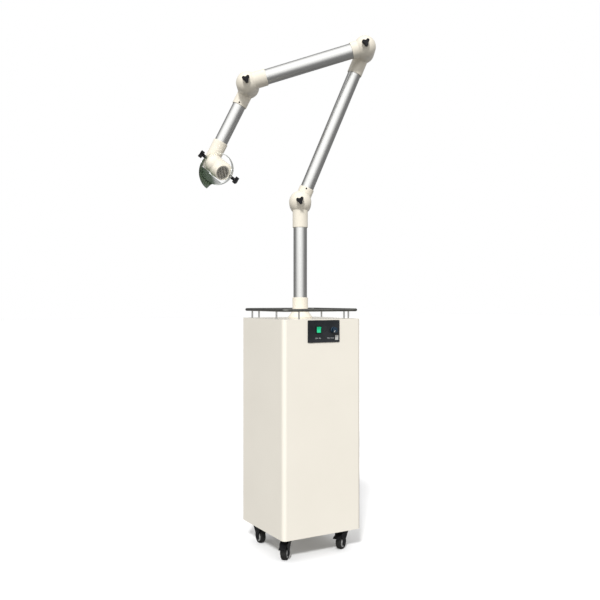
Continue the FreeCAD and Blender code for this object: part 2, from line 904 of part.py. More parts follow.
plates = []
for name in caster_places:
    spot = caster_spot(name)
    plate = block(caster_plate_side, caster_plate_side, caster_plate_thickness, spot * shift(0, 0, plate_z))
    holes = [rod(bolt_radius + bolt_room, tall, bolt) for bolt in caster_bolt_spots(name)]
    plates.append(cut(plate, *holes))
    plates.append(rod(kingpin_radius, crown_depth + 2 * bite, spot * shift(0, 0, crown_low - bite)))
    head_spot = spot * shift(0, 0, crown_low - joint_gap - kingpin_head)
    plates.append(rod(kingpin_head_radius, kingpin_head, head_spot))
node("caster_plates", fuse(*plates))

caster_bolt_head = 3
caster_nut = 4
caster_nut_radius = 5.5
caster_grip = base_thickness + caster_plate_thickness
caster_bolts = []
for spot in bolt_spots:
    under = spot * shift(0, 0, plate_z - caster_bolt_head)
    caster_bolts.append(rod(bolt_radius, caster_bolt_head + caster_grip + caster_nut, under))
    caster_bolts.append(hexagon(bolt_head_radius, caster_bolt_head, under))
    caster_bolts.append(hexagon(caster_nut_radius, caster_nut, spot * shift(0, 0, floor_z)))
node("caster_bolts", fuse(*caster_bolts))

cheek_room = 1
cheek_thickness = 2.5
fork_inside = wheel_width + 2 * cheek_room
fork_width = fork_inside + 2 * cheek_thickness
axle_radius = 4
axle_head = 2
axle_head_radius = 6
axle_span = fork_width + 2 * axle_head
pedal_ahead = 15
pedal_drop = 5.2
pedal_x = caster_trail + pedal_ahead
pedal_z = crown_low - pedal_drop
pedal_pin = 2
pedal_barrel = 4.5
pedal_length = 28
pedal_thickness = 3.5
pedal_slope = 22
shoe_length = 4
shoe_margin = 3
shoe_reach = 7.4
SIDEWAYS = turn(X_AXIS, 90)

fork_back = 14
cheek_half = 10
cheek_rise = 5
cheek_tip_half = 6
cheek_dip = 8
cheek_round = 13
lug = 5
crown_lap = 6
crown_front = 4
fork_outline = [
    (-fork_back, crown_low),
    (caster_trail - cheek_half, wheel_radius + cheek_rise),
    (caster_trail - cheek_tip_half, wheel_radius - cheek_dip),
    (caster_trail + cheek_tip_half, wheel_radius - cheek_dip),
    (caster_trail + cheek_half, wheel_radius + cheek_rise),
    (pedal_x + lug, pedal_z - lug),
    (pedal_x + lug, pedal_z + lug),
    (caster_trail + crown_front, crown_low + crown_lap),
    (-fork_back, crown_low + crown_lap),
]

# Half of the wheel's section from the hub face out to the tread: radius and depth below the hub face
hub_face = 9
hub_foot = 11
disc_depth = 3
rim_depth = 1
tread_edge = 4
tyre_depth = 8
tyre_slope = 6
tyre_shoulder = 2
wheel_steps = [
    (axle_radius + running_gap, 0),
    (hub_face, 0),
    (hub_foot, disc_depth),
    (wheel_radius - tyre_depth, disc_depth),
    (wheel_radius - tyre_slope, rim_depth),
    (wheel_radius - tyre_shoulder, rim_depth),
    (wheel_radius, tread_edge),
]
wheel_half = wheel_width / 2
wheel_outline = [(radius, depth - wheel_half) for radius, depth in wheel_steps]
wheel_outline += [(radius, wheel_half - depth) for radius, depth in reversed(wheel_steps)]
braked = ("fl", "fr")

for name, (side, end, heading) in caster_places.items():
    swivel = caster_spot(name) * turn(Z_AXIS, heading)
    cheeks = padded([fork_outline], fork_width, SIDEWAYS * shift(0, 0, -fork_width / 2))
    axle_discs = rod(cheek_round, fork_width, SIDEWAYS * shift(caster_trail, wheel_radius, -fork_width / 2))
    throat = block(tall, fork_inside, crown_low)
    crown = rod(crown_radius, crown_top - crown_low, shift(0, 0, crown_low))
    axle = rod(axle_radius, axle_span, SIDEWAYS * shift(caster_trail, wheel_radius, -axle_span / 2))
    axle_heads = [rod(axle_head_radius, axle_head, SIDEWAYS * shift(caster_trail, wheel_radius, start))
                  for start in (fork_width / 2, -axle_span / 2)]
    kingpin_hole = rod(kingpin_radius + kingpin_room, through, shift(0, 0, crown_low - bite))
    fork = cut(fuse(cut(fuse(cheeks, axle_discs, crown), throat), axle, *axle_heads), kingpin_hole)
    if name in braked:
        fork = fuse(fork, rod(pedal_pin, fork_width, SIDEWAYS * shift(pedal_x, pedal_z, -fork_width / 2)))
    node("caster_fork_" + name, fork, swivel)

    wheel = revolved(wheel_outline)
    node("caster_wheel_" + name, wheel, swivel * shift(caster_trail, 0, wheel_radius) * SIDEWAYS)

    if name in braked:
        barrel_width = fork_inside - 1
        barrel = rod(pedal_barrel, barrel_width, SIDEWAYS * shift(0, 0, -barrel_width / 2))
        shoe = block(shoe_length, barrel_width - 2 * shoe_margin, shoe_reach, shift(0, 0, -shoe_reach))
        tread = block(pedal_length, barrel_width, pedal_thickness,
                      turn(Y_AXIS, pedal_slope) * shift(pedal_length / 2, 0, 0))
        pedal_bore = rod(pedal_pin + kingpin_room, through, SIDEWAYS * shift(0, 0, -through / 2))
        pedal = cut(fuse(barrel, shoe, tread), pedal_bore)
        node("brake_pedal_" + name, pedal, swivel * shift(pedal_x, 0, pedal_z))


# Arm geometry in its own upright plane; +x runs right and the front is -y

arm = turn(Z_AXIS, arm_yaw)
elbow_1 = (as_size(0), elbow_height)
elbow_2 = (lower_arm_length * sine(lower_arm_lean), elbow_height + lower_arm_length * cosine(lower_arm_lean))
elbow_3 = (elbow_2[0] - upper_arm_length * cosine(upper_arm_slope),
           elbow_2[1] - upper_arm_length * sine(upper_arm_slope))


def front_half_frame(elbow, angle):
    """Pivot frame of a front half: z runs to the rear, x points along the socket."""
    return arm * shift(elbow[0], 0, elbow[1]) * turn(X_AXIS, -90) * turn(Z_AXIS, angle)


def rear_half_frame(elbow, angle):
    """Pivot frame of a rear half: z runs to the front, x points along the socket."""
    return arm * shift(elbow[0], tube_offset, elbow[1]) * turn(X_AXIS, 90) * turn(Z_AXIS, angle)


socket_stop = 2
tube_start = elbow_radius - socket_stop
end_room = 0.1
elbow_bolt_radius = 5
elbow_bolt_room = 0.2
elbow_boss_radius = 13
boss_rise = 2
boss_height = elbow_radius + boss_rise


def elbow_half(label, frame, socket_length, diameter):
    """One half of a swivel elbow: a domed drum with a tube socket on its side."""
    drum_length = tube_offset / 2 - joint_gap / 2
    inside = elbow_radius - elbow_wall
    bore = diameter / 2 + running_gap
    outer = fuse(
        rod(elbow_radius, drum_length),
        dome(elbow_radius),
        rod(elbow_boss_radius, boss_height, shift(0, 0, -boss_height)),
        rod(diameter / 2 + socket_wall, socket_length, ALONG_X))
    half = cut(
        outer,
        rod(inside, drum_length),
        dome(inside),
        rod(diameter / 2 - 2 * tube_wall, tube_start, ALONG_X),
        rod(bore, socket_length, shift(tube_start, 0, 0) * ALONG_X),
        rod(elbow_bolt_radius + elbow_bolt_room, boss_height + bite, shift(0, 0, -boss_height - bite)))
    node(label, half, frame)


def tube(label, frame, start, length, diameter):
    """A plain tube along the frame's x."""
    run = frame * shift(start, 0, 0) * ALONG_X
    node(label, pipe(diameter / 2, diameter / 2 - tube_wall, length), run)


lobe_radius = 6.5
lobe_circle = 8.5
lobe_angle = 45
knob_core = 9.5
knob_hub = 8.5
knob_roof = 3


def lobed_knob(grip_start, grip_length, hub_radius):
    """A three-lobed hand knob along z with a hub below the grip."""
    spots = [turn(Z_AXIS, lobe_angle + 120 * step) * shift(lobe_circle, 0, grip_start) for step in range(3)]
    lobes = [rod(lobe_radius, grip_length, spot) for spot in spots]
    return fuse(rod(knob_core, grip_length, shift(0, 0, grip_start)), rod(hub_radius, grip_start), *lobes)


clamp_thread = 13
clamp_head = 6
clamp_head_radius = 9
clamp_knob_hub = 5
clamp_knob_grip = 13


def elbow_clamp(number, frame):
    """The bolt through both halves, headed at the rear, and the knob on its front end."""
    shank = tube_offset + 2 * boss_height + clamp_thread + end_room
    bolt = fuse(
        rod(elbow_bolt_radius, shank, shift(0, 0, -boss_height - clamp_thread)),
        hexagon(clamp_head_radius, clamp_head, shift(0, 0, tube_offset + boss_height + end_room)))
    node(f"elbow_{number}_bolt", bolt, frame)
    knob = cut(
        lobed_knob(clamp_knob_hub, clamp_knob_grip, knob_hub),
        rod(elbow_bolt_radius + running_gap, clamp_knob_hub + clamp_knob_grip - knob_roof))
    node(f"elbow_{number}_knob", knob, frame * shift(0, 0, -boss_height - joint_gap) * turn(X_AXIS, 180))


DOWN = 90
post_socket = 95
lower_socket_start = 66
lower_socket_end = 89
upper_socket_start = 52
upper_socket_end = 74
fore_socket = 77
lower_angle = 90 - lower_arm_lean
forearm_angle = 270 - forearm_lean

post_bottom = top_z + flange_floor + bush_lip + end_room
post_length = elbow_height - tube_start - end_room - post_bottom
node("post_tube", pipe(tube_radius, tube_radius - tube_wall, post_length), arm * shift(0, 0, post_bottom))
elbow_half("elbow_1_front", front_half_frame(elbow_1, DOWN), post_socket, tube_diameter)
elbow_half("elbow_1_rear", rear_half_frame(elbow_1, lower_angle), lower_socket_start, tube_diameter)
elbow_clamp(1, front_half_frame(elbow_1, 0))

lower_run = lower_arm_length - 2 * tube_start - 2 * end_room
tube("lower_arm_tube", rear_half_frame(elbow_1, lower_angle), tube_start + end_room, lower_run, tube_diameter)
elbow_half("elbow_2_rear", rear_half_frame(elbow_2, lower_angle + 180), lower_socket_end, tube_diameter)
elbow_half("elbow_2_front", front_half_frame(elbow_2, 180 - upper_arm_slope), upper_socket_start,
           wide_tube_diameter)
elbow_clamp(2, front_half_frame(elbow_2, 0))

upper_run = upper_arm_length - 2 * tube_start - 2 * end_room
tube("upper_arm_tube", front_half_frame(elbow_3, -upper_arm_slope), tube_start + end_room, upper_run,
     wide_tube_diameter)
elbow_half("elbow_3_front", front_half_frame(elbow_3, -upper_arm_slope), upper_socket_end,
           wide_tube_diameter)
elbow_half("elbow_3_rear", rear_half_frame(elbow_3, forearm_angle), fore_socket, tube_diameter)
elbow_clamp(3, front_half_frame(elbow_3, 0))

forearm = rear_half_frame(elbow_3, forearm_angle)
nozzle_grip = 50
forearm_end = forearm_visible + nozzle_grip
tube("forearm_tube", forearm, tube_start + end_room, forearm_end - tube_start - 2 * end_room, tube_diameter)


# Nozzle: a socket on the forearm, a bent neck and a hollow barrel on the hood's axle with a guarded inlet

neck_radius = tube_radius + socket_wall
bore_step = 1
bend_swell = 0.4
neck_bore = tube_radius - tube_wall - bore_step
bend_spot = shift(forearm_length, 0, 0)
neck_frame = bend_spot * turn(X_AXIS, neck_turn - 90) * turn(Y_AXIS, neck_pitch)
half_bend = 45
bend_frame = neck_frame * turn(Y_AXIS, half_bend)
neck_run = neck_length * cosine(neck_pitch)
neck_drop = neck_length * sine(neck_pitch)
head_spot = shift(forearm_length + neck_drop, neck_run * cosine(neck_turn), neck_run * sine(neck_turn))
pivot_frame = head_spot * turn(Z_AXIS, hood_axis_turn)
inlet_axis = pivot_frame * shift(0, -inlet_drop, 0) * turn(Y_AXIS, inlet_turn)
inlet_radius = inlet_diameter / 2
pivot_sides = {"left": pivot_frame * turn(Y_AXIS, -90), "right": pivot_frame * ALONG_X}
stud_radius = 3
stud_boss = 8
stud_boss_depth = 9
head_inside = head_reach - nozzle_wall
head_end = head_radius + bend_swell
head_half = head_reach - head_end
head_ends = [spot * shift(0, 0, head_half) for spot in pivot_sides.values()]
head_axis = pivot_sides["right"] * shift(0, 0, -head_half)

nozzle_outer = fuse(
    rod(neck_radius, forearm_length - forearm_visible, shift(forearm_visible, 0, 0) * ALONG_X),
    ball(neck_radius + bend_swell, bend_frame),
    rod(neck_radius, neck_length, neck_frame),
    rod(head_radius, 2 * head_half, head_axis),
    *[ball(head_end, spot) for spot in head_ends],
    ball(inlet_radius + inlet_wall + bend_swell, inlet_axis),
    rod(inlet_radius + inlet_wall, inlet_reach, inlet_axis))
nozzle_hollow = cut(
    nozzle_outer,
    rod(tube_radius + running_gap, nozzle_grip, shift(forearm_visible, 0, 0) * ALONG_X),
    rod(neck_bore, forearm_length - forearm_visible, shift(forearm_visible, 0, 0) * ALONG_X),
    ball(neck_bore + bend_swell, bend_frame),
    rod(neck_bore, neck_length, neck_frame),
    rod(head_radius - nozzle_wall, 2 * head_half, head_axis),
    *[ball(head_end - nozzle_wall, spot) for spot in head_ends],
    ball(inlet_radius + bend_swell, inlet_axis),
    rod(inlet_radius, 2 * inlet_reach, inlet_axis))
boss_floor = head_inside - stud_boss_depth
stud_bosses = [rod(stud_boss, stud_boss_depth + nozzle_wall / 2, spot * shift(0, 0, boss_floor))
               for spot in pivot_sides.values()]
stud_holes = [rod(stud_radius + running_gap, through, spot * shift(0, 0, boss_floor - bite))
              for spot in pivot_sides.values()]
node("nozzle_head", cut(fuse(nozzle_hollow, *stud_bosses), *stud_holes), forearm)

guard_radius = inlet_radius
guard_depth = 3
guard_sink = 3.5
guard_ring = 2.5
guard_bite = 1.2
guard_bar = 1.8
guard_floor = inlet_reach - guard_sink
guard_frame = forearm * inlet_axis * shift(0, 0, guard_floor)
guard_bars = 7
guard_pitch = 6.2
guard_lean = 128
guard_parts = [pipe(guard_radius, guard_radius - guard_ring, guard_depth)]
for step in range(guard_bars):
    across = guard_pitch * (step - (guard_bars - 1) / 2)
    reach = 2 * math.sqrt((guard_radius.value - guard_bite) ** 2 - across ** 2)
    share = as_size(reach / guard_radius.value) * guard_radius
    guard_parts.append(block(share, guard_bar, guard_depth, turn(Z_AXIS, guard_lean) * shift(0, across, 0)))
node("inlet_guard", fuse(*guard_parts), guard_frame)


# Clear hood: a trumpet round the barrel, cut to a pointed lip, with two pivot ears

hood_frame = pivot_frame * turn(X_AXIS, hood_tilt) * shift(0, -hood_drop, 0)
hood_straight = 30
hood_bead = 1
bead_depth = 3
lip_round = 1
flare_rise = hood_reach - hood_straight
hood_inside = hood_radius - hood_wall
mouth_radius = hood_radius + hood_flare


def flare_radius(flare, rise):
    """Radius of the arc that leaves straight up and moves out by flare over rise."""
    return (flare * flare + rise * rise) / (2 * flare)


outer_bend = flare_radius(hood_flare, flare_rise)
inner_bend = flare_radius(hood_flare, flare_rise + lip_round)
hood_outline = [
    (hood_inside, 0),
    (hood_radius + hood_bead, 0),
    (hood_radius + hood_bead, bead_depth),
    (hood_radius, bead_depth),
    (hood_radius, hood_straight, -outer_bend),
    (mouth_radius, hood_reach),
    (mouth_radius - hood_wall, hood_reach + lip_round, inner_bend),
    (hood_inside, hood_straight),
]
trumpet = revolved(hood_outline, hood_frame)
# The rim is cut by a slanting scoop and, beside the lip, by a steep notch
scoop_azimuth = -67
scoop_slope = 22.8
scoop_level = hood_straight + 5.5
notch_azimuth = -73
notch_lean = 18
notch_level = hood_straight + 8
scoop = hood_frame * turn(Z_AXIS, scoop_azimuth) * shift(0, 0, scoop_level) * turn(Y_AXIS, -scoop_slope)
notch = hood_frame * turn(Z_AXIS, notch_azimuth) * shift(mouth_radius, 0, notch_level)
trims = [
    block(tall, tall, tall, scoop),
    block(tall, tall, tall, notch * turn(Z_AXIS, -notch_lean) * shift(0, tall / 2, 0)),
]

# Behind the lip a flat wall fills the hood up to an edge that clears the barrel and steps under the inlet
chord_gap = 1.1
inlet_side = 16
barrel_level = head_end + chord_gap - hood_drop
inlet_level = inlet_drop + inlet_radius + inlet_wall + bend_swell + chord_gap - hood_drop
back_wall = cut(
    rod(hood_inside + bite, hood_wall, hood_frame),
    block(tall, tall, tall, hood_frame * shift(0, tall / 2 - barrel_level, -tall / 2)),
    block(tall, tall, tall, hood_frame * shift(tall / 2 - inlet_side, tall / 2 - inlet_level, -tall / 2)))

ear_radius = 9.5
ear_gap = 0.4
ear_height = hood_radius + hood_bead
ear_foot = head_reach + ear_gap
ears = [rod(ear_radius, ear_height - ear_foot, spot * shift(0, 0, ear_foot))
        for spot in pivot_sides.values()]
ear_holes = [rod(stud_radius + bolt_room, tall, spot) for spot in pivot_sides.values()]
node("suction_hood", cut(fuse(cut(trumpet, *trims), back_wall, *ears), *ear_holes), forearm)

hood_knob_hub = 13
hood_knob_grip = 13
hood_knob_neck = 6
# A stud in each boss passes through the ear, and its knob clamps the ear against the barrel
stud_depth = 12
stud_end_room = 1
knob_bore = hood_knob_hub + hood_knob_grip - knob_roof
knob_foot = ear_height + joint_gap
stud_start = head_reach - stud_depth
stud_length = knob_foot + knob_bore - stud_end_room - stud_start
studs = [rod(stud_radius, stud_length, spot * shift(0, 0, stud_start)) for spot in pivot_sides.values()]
node("hood_studs", fuse(*studs), forearm)
for label, spot in pivot_sides.items():
    grip = lobed_knob(hood_knob_hub, hood_knob_grip, hood_knob_neck)
    knob = cut(grip, rod(stud_radius + running_gap, knob_bore))
    node("hood_knob_" + label, knob, forearm * spot * shift(0, 0, knob_foot))


# Check every object, then write one file per sub-part

doc.recompute()
for thing in doc.Objects:
    if "Invalid" in thing.State or "Error" in thing.State:
        raise RuntimeError(f"{thing.Label}: {thing.State}")
os.makedirs("parts", exist_ok=True)
for piece in nodes:
    if piece.Shape.isNull() or not piece.Shape.isValid():
        raise RuntimeError(f"{piece.Label}: no valid shape")
    piece.Shape.exportStep(f"parts/{piece.Label}.step")
    box = piece.Shape.BoundBox
    print(f"{piece.Label}: {len(piece.Shape.Solids)} solid(s), {piece.Shape.Volume:.0f} mm3, "
          f"x {box.XMin:.1f}..{box.XMax:.1f} y {box.YMin:.1f}..{box.YMax:.1f} "
          f"z {box.ZMin:.1f}..{box.ZMax:.1f}")
print(len(nodes), "sub-parts")
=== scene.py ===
# %% [markdown]
# An extraoral suction unit for a dental room. A cabinet on casters draws air through a jointed tube
# arm, and a clear hood at the end of the arm catches spray near the patient's mouth.
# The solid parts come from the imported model, in metres, with the floor at z = 0 and the control
# panel facing -Y. They could all be modelled again here, but a frame that never moves keeps every
# joint true, so this lesson only dresses it: finishes first, then the pieces that need a softer form.

# %% Load the frame
import json
import math

import bmesh
import bpy
from mathutils import Matrix, Vector


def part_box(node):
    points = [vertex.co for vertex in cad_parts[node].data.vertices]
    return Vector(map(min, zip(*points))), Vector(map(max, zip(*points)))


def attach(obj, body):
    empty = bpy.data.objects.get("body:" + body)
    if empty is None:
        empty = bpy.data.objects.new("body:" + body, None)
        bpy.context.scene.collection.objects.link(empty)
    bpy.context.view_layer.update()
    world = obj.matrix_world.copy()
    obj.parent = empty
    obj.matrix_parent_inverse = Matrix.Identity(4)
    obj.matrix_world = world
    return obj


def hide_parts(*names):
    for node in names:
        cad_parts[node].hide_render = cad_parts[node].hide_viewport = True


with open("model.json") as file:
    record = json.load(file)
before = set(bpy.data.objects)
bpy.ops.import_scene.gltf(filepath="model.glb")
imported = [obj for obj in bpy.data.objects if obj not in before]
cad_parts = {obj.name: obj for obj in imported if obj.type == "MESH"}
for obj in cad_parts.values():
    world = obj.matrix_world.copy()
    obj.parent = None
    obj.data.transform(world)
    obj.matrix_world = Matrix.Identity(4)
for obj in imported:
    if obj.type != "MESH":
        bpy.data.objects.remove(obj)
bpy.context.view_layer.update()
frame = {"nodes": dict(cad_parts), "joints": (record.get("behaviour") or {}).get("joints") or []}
scene = bpy.context.scene
nodes = frame["nodes"]
MM = 0.001
X_AXIS = Vector((1, 0, 0))
Y_AXIS = Vector((0, 1, 0))
Z_AXIS = Vector((0, 0, 1))


# %% [markdown]
# Every joint in the frame has a place and an axis. Reading them from the frame is safer than typing
# the same numbers again: a knob that is placed by its joint still sits right when the arm changes.

# %% Joints and the directions of the arm
def joint(name):
    """The place of a joint and its axis."""
    spec = next(item for item in frame["joints"] if item["name"] == name)
    return Vector(spec["pos_m"]), Vector(spec["axis"]).normalized()


def standing(place, up, side):
    """A matrix with z along up and x as near to side as it can be, at a place."""
    z = up.normalized()
    x = (side - z * side.dot(z)).normalized()
    y = z.cross(x)
    matrix = Matrix((x, y, z)).transposed().to_4x4()
    matrix.translation = place
    return matrix


elbows = [joint(f"elbow_{number}_hinge")[0] for number in (1, 2, 3)]
arm_front = joint("elbow_1_hinge")[1]
print("the elbows face", tuple(round(value, 3) for value in arm_front))


# %% [markdown]
# Finishes. A finish is a shader whose colour, gloss and tiny relief vary a little over the surface.
# An image would do, but noise computed in object space needs no unwrapping and stays sharp in a
# close view. One function sets up what all finishes share, and each finish only states its numbers.

# %% Building blocks of a finish
def new_finish(name):
    """An empty material with its node tree, shader and object coordinates."""
    finish = bpy.data.materials.new(name)
    finish.use_nodes = True
    tree = finish.node_tree
    shader = tree.nodes["Principled BSDF"]
    place = tree.nodes.new("ShaderNodeTexCoord")
    return finish, tree, shader, place.outputs["Object"]


def noise(tree, coordinates, scale, detail=3.0):
    """A noise texture read at the coordinates."""
    texture = tree.nodes.new("ShaderNodeTexNoise")
    texture.inputs["Scale"].default_value = scale
    texture.inputs["Detail"].default_value = detail
    tree.links.new(coordinates, texture.inputs["Vector"])
    return texture.outputs["Fac"]


def ramp(tree, factor, low, high, start=0.3, end=0.7):
    """Two tones along a factor."""
    blend = tree.nodes.new("ShaderNodeValToRGB")
    blend.color_ramp.elements[0].position = start
    blend.color_ramp.elements[1].position = end
    blend.color_ramp.elements[0].color = (*low, 1)
    blend.color_ramp.elements[1].color = (*high, 1)
    tree.links.new(factor, blend.inputs["Fac"])
    return blend.outputs["Color"]


def span(tree, factor, low, high):
    """A factor from 0 to 1 spread from low to high."""
    spread = tree.nodes.new("ShaderNodeMapRange")
    spread.inputs["To Min"].default_value = low
    spread.inputs["To Max"].default_value = high
    tree.links.new(factor, spread.inputs["Value"])
    return spread.outputs["Result"]


def relief(tree, shader, height, depth, strength=0.4):
    """Lift the surface by a height pattern, depth in metres."""
    bump = tree.nodes.new("ShaderNodeBump")
    bump.inputs["Distance"].default_value = depth
    bump.inputs["Strength"].default_value = strength
    tree.links.new(height, bump.inputs["Height"])
    tree.links.new(bump.outputs["Normal"], shader.inputs["Normal"])


# %% A function for plain finishes
def plain_finish(name, dark, light, gloss, patch, grain, depth, metal=0.0, coat=0.0, shine=0.5):
    """Colour and roughness drift in soft patches, and a fine grain lifts the surface."""
    finish, tree, shader, place = new_finish(name)
    patches = noise(tree, place, patch)
    tree.links.new(ramp(tree, patches, dark, light), shader.inputs["Base Color"])
    tree.links.new(span(tree, patches, *gloss), shader.inputs["Roughness"])
    relief(tree, shader, noise(tree, place, grain, detail=2.0), depth)
    shader.inputs["Metallic"].default_value = metal
    shader.inputs["Coat Weight"].default_value = coat
    shader.inputs["Coat Roughness"].default_value = 0.2
    shader.inputs["Specular IOR Level"].default_value = shine
    print("finish", name)
    return finish


# %% [markdown]
# The cabinet is folded sheet steel with a cream powder coat. Powder melts into a skin with a faint
# orange-peel ripple about a millimetre wide, so the grain is fine and shallow. The elbows, the
# flange and the nozzle are ivory moulded plastic: smoother, glossier and a touch warmer.

# %% Paint and pale plastics
cream_paint = plain_finish("cream_powder_coat", (0.765, 0.723, 0.635), (0.785, 0.743, 0.655), (0.36, 0.46),
                           patch=5, grain=900, depth=0.00008, coat=0.7)
ivory_plastic = plain_finish("ivory_moulded_plastic", (0.70, 0.65, 0.55), (0.73, 0.68, 0.58), (0.30, 0.40),
                             patch=30, grain=2600, depth=0.00003)
white_nylon = plain_finish("white_nylon", (0.74, 0.73, 0.70), (0.80, 0.79, 0.76), (0.40, 0.50),
                           patch=40, grain=2000, depth=0.00005)
grey_plastic = plain_finish("grey_duct_plastic", (0.23, 0.235, 0.24), (0.29, 0.295, 0.30), (0.45, 0.60),
                            patch=25, grain=1500, depth=0.00008)
guard_grey = plain_finish("guard_grey_plastic", (0.33, 0.315, 0.28), (0.41, 0.395, 0.35), (0.40, 0.55),
                          patch=90, grain=2200, depth=0.00005)
hub_grey = plain_finish("pale_grey_hub_plastic", (0.42, 0.42, 0.41), (0.50, 0.50, 0.49), (0.30, 0.45),
                        patch=120, grain=2400, depth=0.00005)
print_grey = plain_finish("pale_grey_print", (0.42, 0.43, 0.44), (0.50, 0.51, 0.52), (0.45, 0.55),
                          patch=200, grain=4000, depth=0.00001)
label_grey = plain_finish("pale_label_film", (0.44, 0.44, 0.42), (0.52, 0.52, 0.50), (0.35, 0.45),
                          patch=150, grain=4000, depth=0.00001)

# %% Dark plastics, rubber and board
black_plastic = plain_finish("black_grained_plastic", (0.006, 0.006, 0.007), (0.013, 0.013, 0.014),
                             (0.38, 0.54), patch=60, grain=1800, depth=0.00012, shine=0.12)
black_panel = plain_finish("black_panel_film", (0.010, 0.012, 0.014), (0.016, 0.018, 0.021), (0.22, 0.32),
                           patch=40, grain=3000, depth=0.00002, shine=0.25)
blue_dial = plain_finish("blue_black_dial", (0.004, 0.016, 0.034), (0.006, 0.028, 0.055), (0.18, 0.28),
                         patch=160, grain=2400, depth=0.00003)
tyre_rubber = plain_finish("black_tyre_rubber", (0.010, 0.010, 0.010), (0.022, 0.021, 0.020), (0.55, 0.75),
                           patch=140, grain=1600, depth=0.00015, shine=0.2)
foot_rubber = plain_finish("foot_rubber", (0.014, 0.014, 0.014), (0.024, 0.024, 0.024), (0.60, 0.80),
                           patch=60, grain=1500, depth=0.0001)
board_green = plain_finish("green_circuit_board", (0.010, 0.075, 0.035), (0.016, 0.11, 0.05), (0.30, 0.45),
                           patch=220, grain=3000, depth=0.00003)


# %% [markdown]
# Metals. Drawn aluminium tube has die lines along its length, and they stretch every reflection
# across the tube. The pattern must follow each tube, so object space is turned until its z runs
# along the tube, then squeezed across it. Rail steel is brushed, and fasteners are zinc plated.

# %% Drawn aluminium
DIE_LINES = (900, 900, 6)
DIE_LINE_DEPTH = 0.00004
ALUMINIUM_DARK = (0.42, 0.42, 0.41)
ALUMINIUM_LIGHT = (0.50, 0.50, 0.49)
ALUMINIUM_GLOSS = (0.32, 0.40)


def drawn_aluminium(name, along):
    """Satin aluminium with fine lines that follow a direction."""
    finish, tree, shader, place = new_finish(name)
    mapping = tree.nodes.new("ShaderNodeMapping")
    mapping.inputs["Rotation"].default_value = along.rotation_difference(Z_AXIS).to_euler()
    mapping.inputs["Scale"].default_value = DIE_LINES
    tree.links.new(place, mapping.inputs["Vector"])
    lines = noise(tree, mapping.outputs["Vector"], 1.0, detail=2.0)
    tree.links.new(ramp(tree, lines, ALUMINIUM_DARK, ALUMINIUM_LIGHT), shader.inputs["Base Color"])
    tree.links.new(span(tree, lines, *ALUMINIUM_GLOSS), shader.inputs["Roughness"])
    relief(tree, shader, lines, DIE_LINE_DEPTH, strength=0.25)
    shader.inputs["Metallic"].default_value = 1.0
    print("finish", name)
    return finish


forearm_way = joint("nozzle_swivel")[1]
tube_ways = {
    "post_tube": Z_AXIS,
    "lower_arm_tube": (elbows[1] - elbows[0]).normalized(),
    "upper_arm_tube": (elbows[2] - elbows[1]).normalized(),
    "forearm_tube": forearm_way,
}
tube_metals = {node: drawn_aluminium("satin_aluminium_" + node, way) for node, way in tube_ways.items()}

# %% Steels
post_steel = plain_finish("satin_post_steel", (0.26, 0.26, 0.25), (0.34, 0.34, 0.33), (0.32, 0.44),
                          patch=60, grain=1600, depth=0.00004, metal=0.9)
rail_steel = plain_finish("dark_rail_steel", (0.10, 0.10, 0.095), (0.14, 0.14, 0.13), (0.32, 0.44),
                          patch=30, grain=1600, depth=0.00004, metal=0.9)
zinc_steel = plain_finish("zinc_plated_steel", (0.46, 0.46, 0.45), (0.60, 0.60, 0.58), (0.30, 0.48),
                          patch=120, grain=1800, depth=0.00005, metal=1.0)
black_steel = plain_finish("black_coated_steel", (0.010, 0.010, 0.011), (0.020, 0.020, 0.021), (0.40, 0.52),
                           patch=60, grain=1500, depth=0.00008, shine=0.22)


# %% [markdown]
# The rocker glows green when the unit runs, so its plastic emits a little of its own colour. The
# filters are paper and charcoal: a wave pattern stands for pleats, with painted shade darkening the
# valleys, and a coarse noise for granules.

# %% Lit rocker and filter media
def lit_plastic(name, dark, light, glow):
    """Coloured plastic with a lamp behind it."""
    finish, tree, shader, place = new_finish(name)
    tone = ramp(tree, noise(tree, place, 120), dark, light)
    tree.links.new(tone, shader.inputs["Base Color"])
    tree.links.new(tone, shader.inputs["Emission Color"])
    shader.inputs["Emission Strength"].default_value = glow
    shader.inputs["Roughness"].default_value = 0.22
    print("finish", name)
    return finish


def pleated_paper(name, dark, light):
    """Filter paper in even folds, with painted shade darkening the valleys of the folds."""
    finish, tree, shader, place = new_finish(name)
    folds = tree.nodes.new("ShaderNodeTexWave")
    folds.inputs["Scale"].default_value = 45
    folds.inputs["Distortion"].default_value = 0.4
    tree.links.new(place, folds.inputs["Vector"])
    # Painted shade: the paper is darker where the folds sink.
    tree.links.new(ramp(tree, folds.outputs["Fac"], dark, light, 0.1, 0.9), shader.inputs["Base Color"])
    relief(tree, shader, folds.outputs["Fac"], 0.003, strength=0.8)
    shader.inputs["Roughness"].default_value = 0.85
    print("finish", name)
    return finish


green_rocker = lit_plastic("green_lit_rocker", (0.004, 0.36, 0.15), (0.012, 0.50, 0.23), 0.35)
filter_paper = pleated_paper("pleated_filter_paper", (0.55, 0.56, 0.54), (0.72, 0.73, 0.70))
charcoal = plain_finish("charcoal_granules", (0.006, 0.006, 0.006), (0.030, 0.030, 0.030), (0.75, 0.95),
                        patch=400, grain=500, depth=0.002)


# %% [markdown]
# Solids whose shape is already right keep their own mesh and only change their finish: sheet metal,
# tubes, rail, fasteners and everything behind the panels.

# %% Finishes on the solids that stay
def dress(finish, *names):
    """Give a finish to solids of the frame."""
    for name in names:
        mesh = nodes[name].data
        mesh.materials.clear()
        mesh.materials.append(finish)


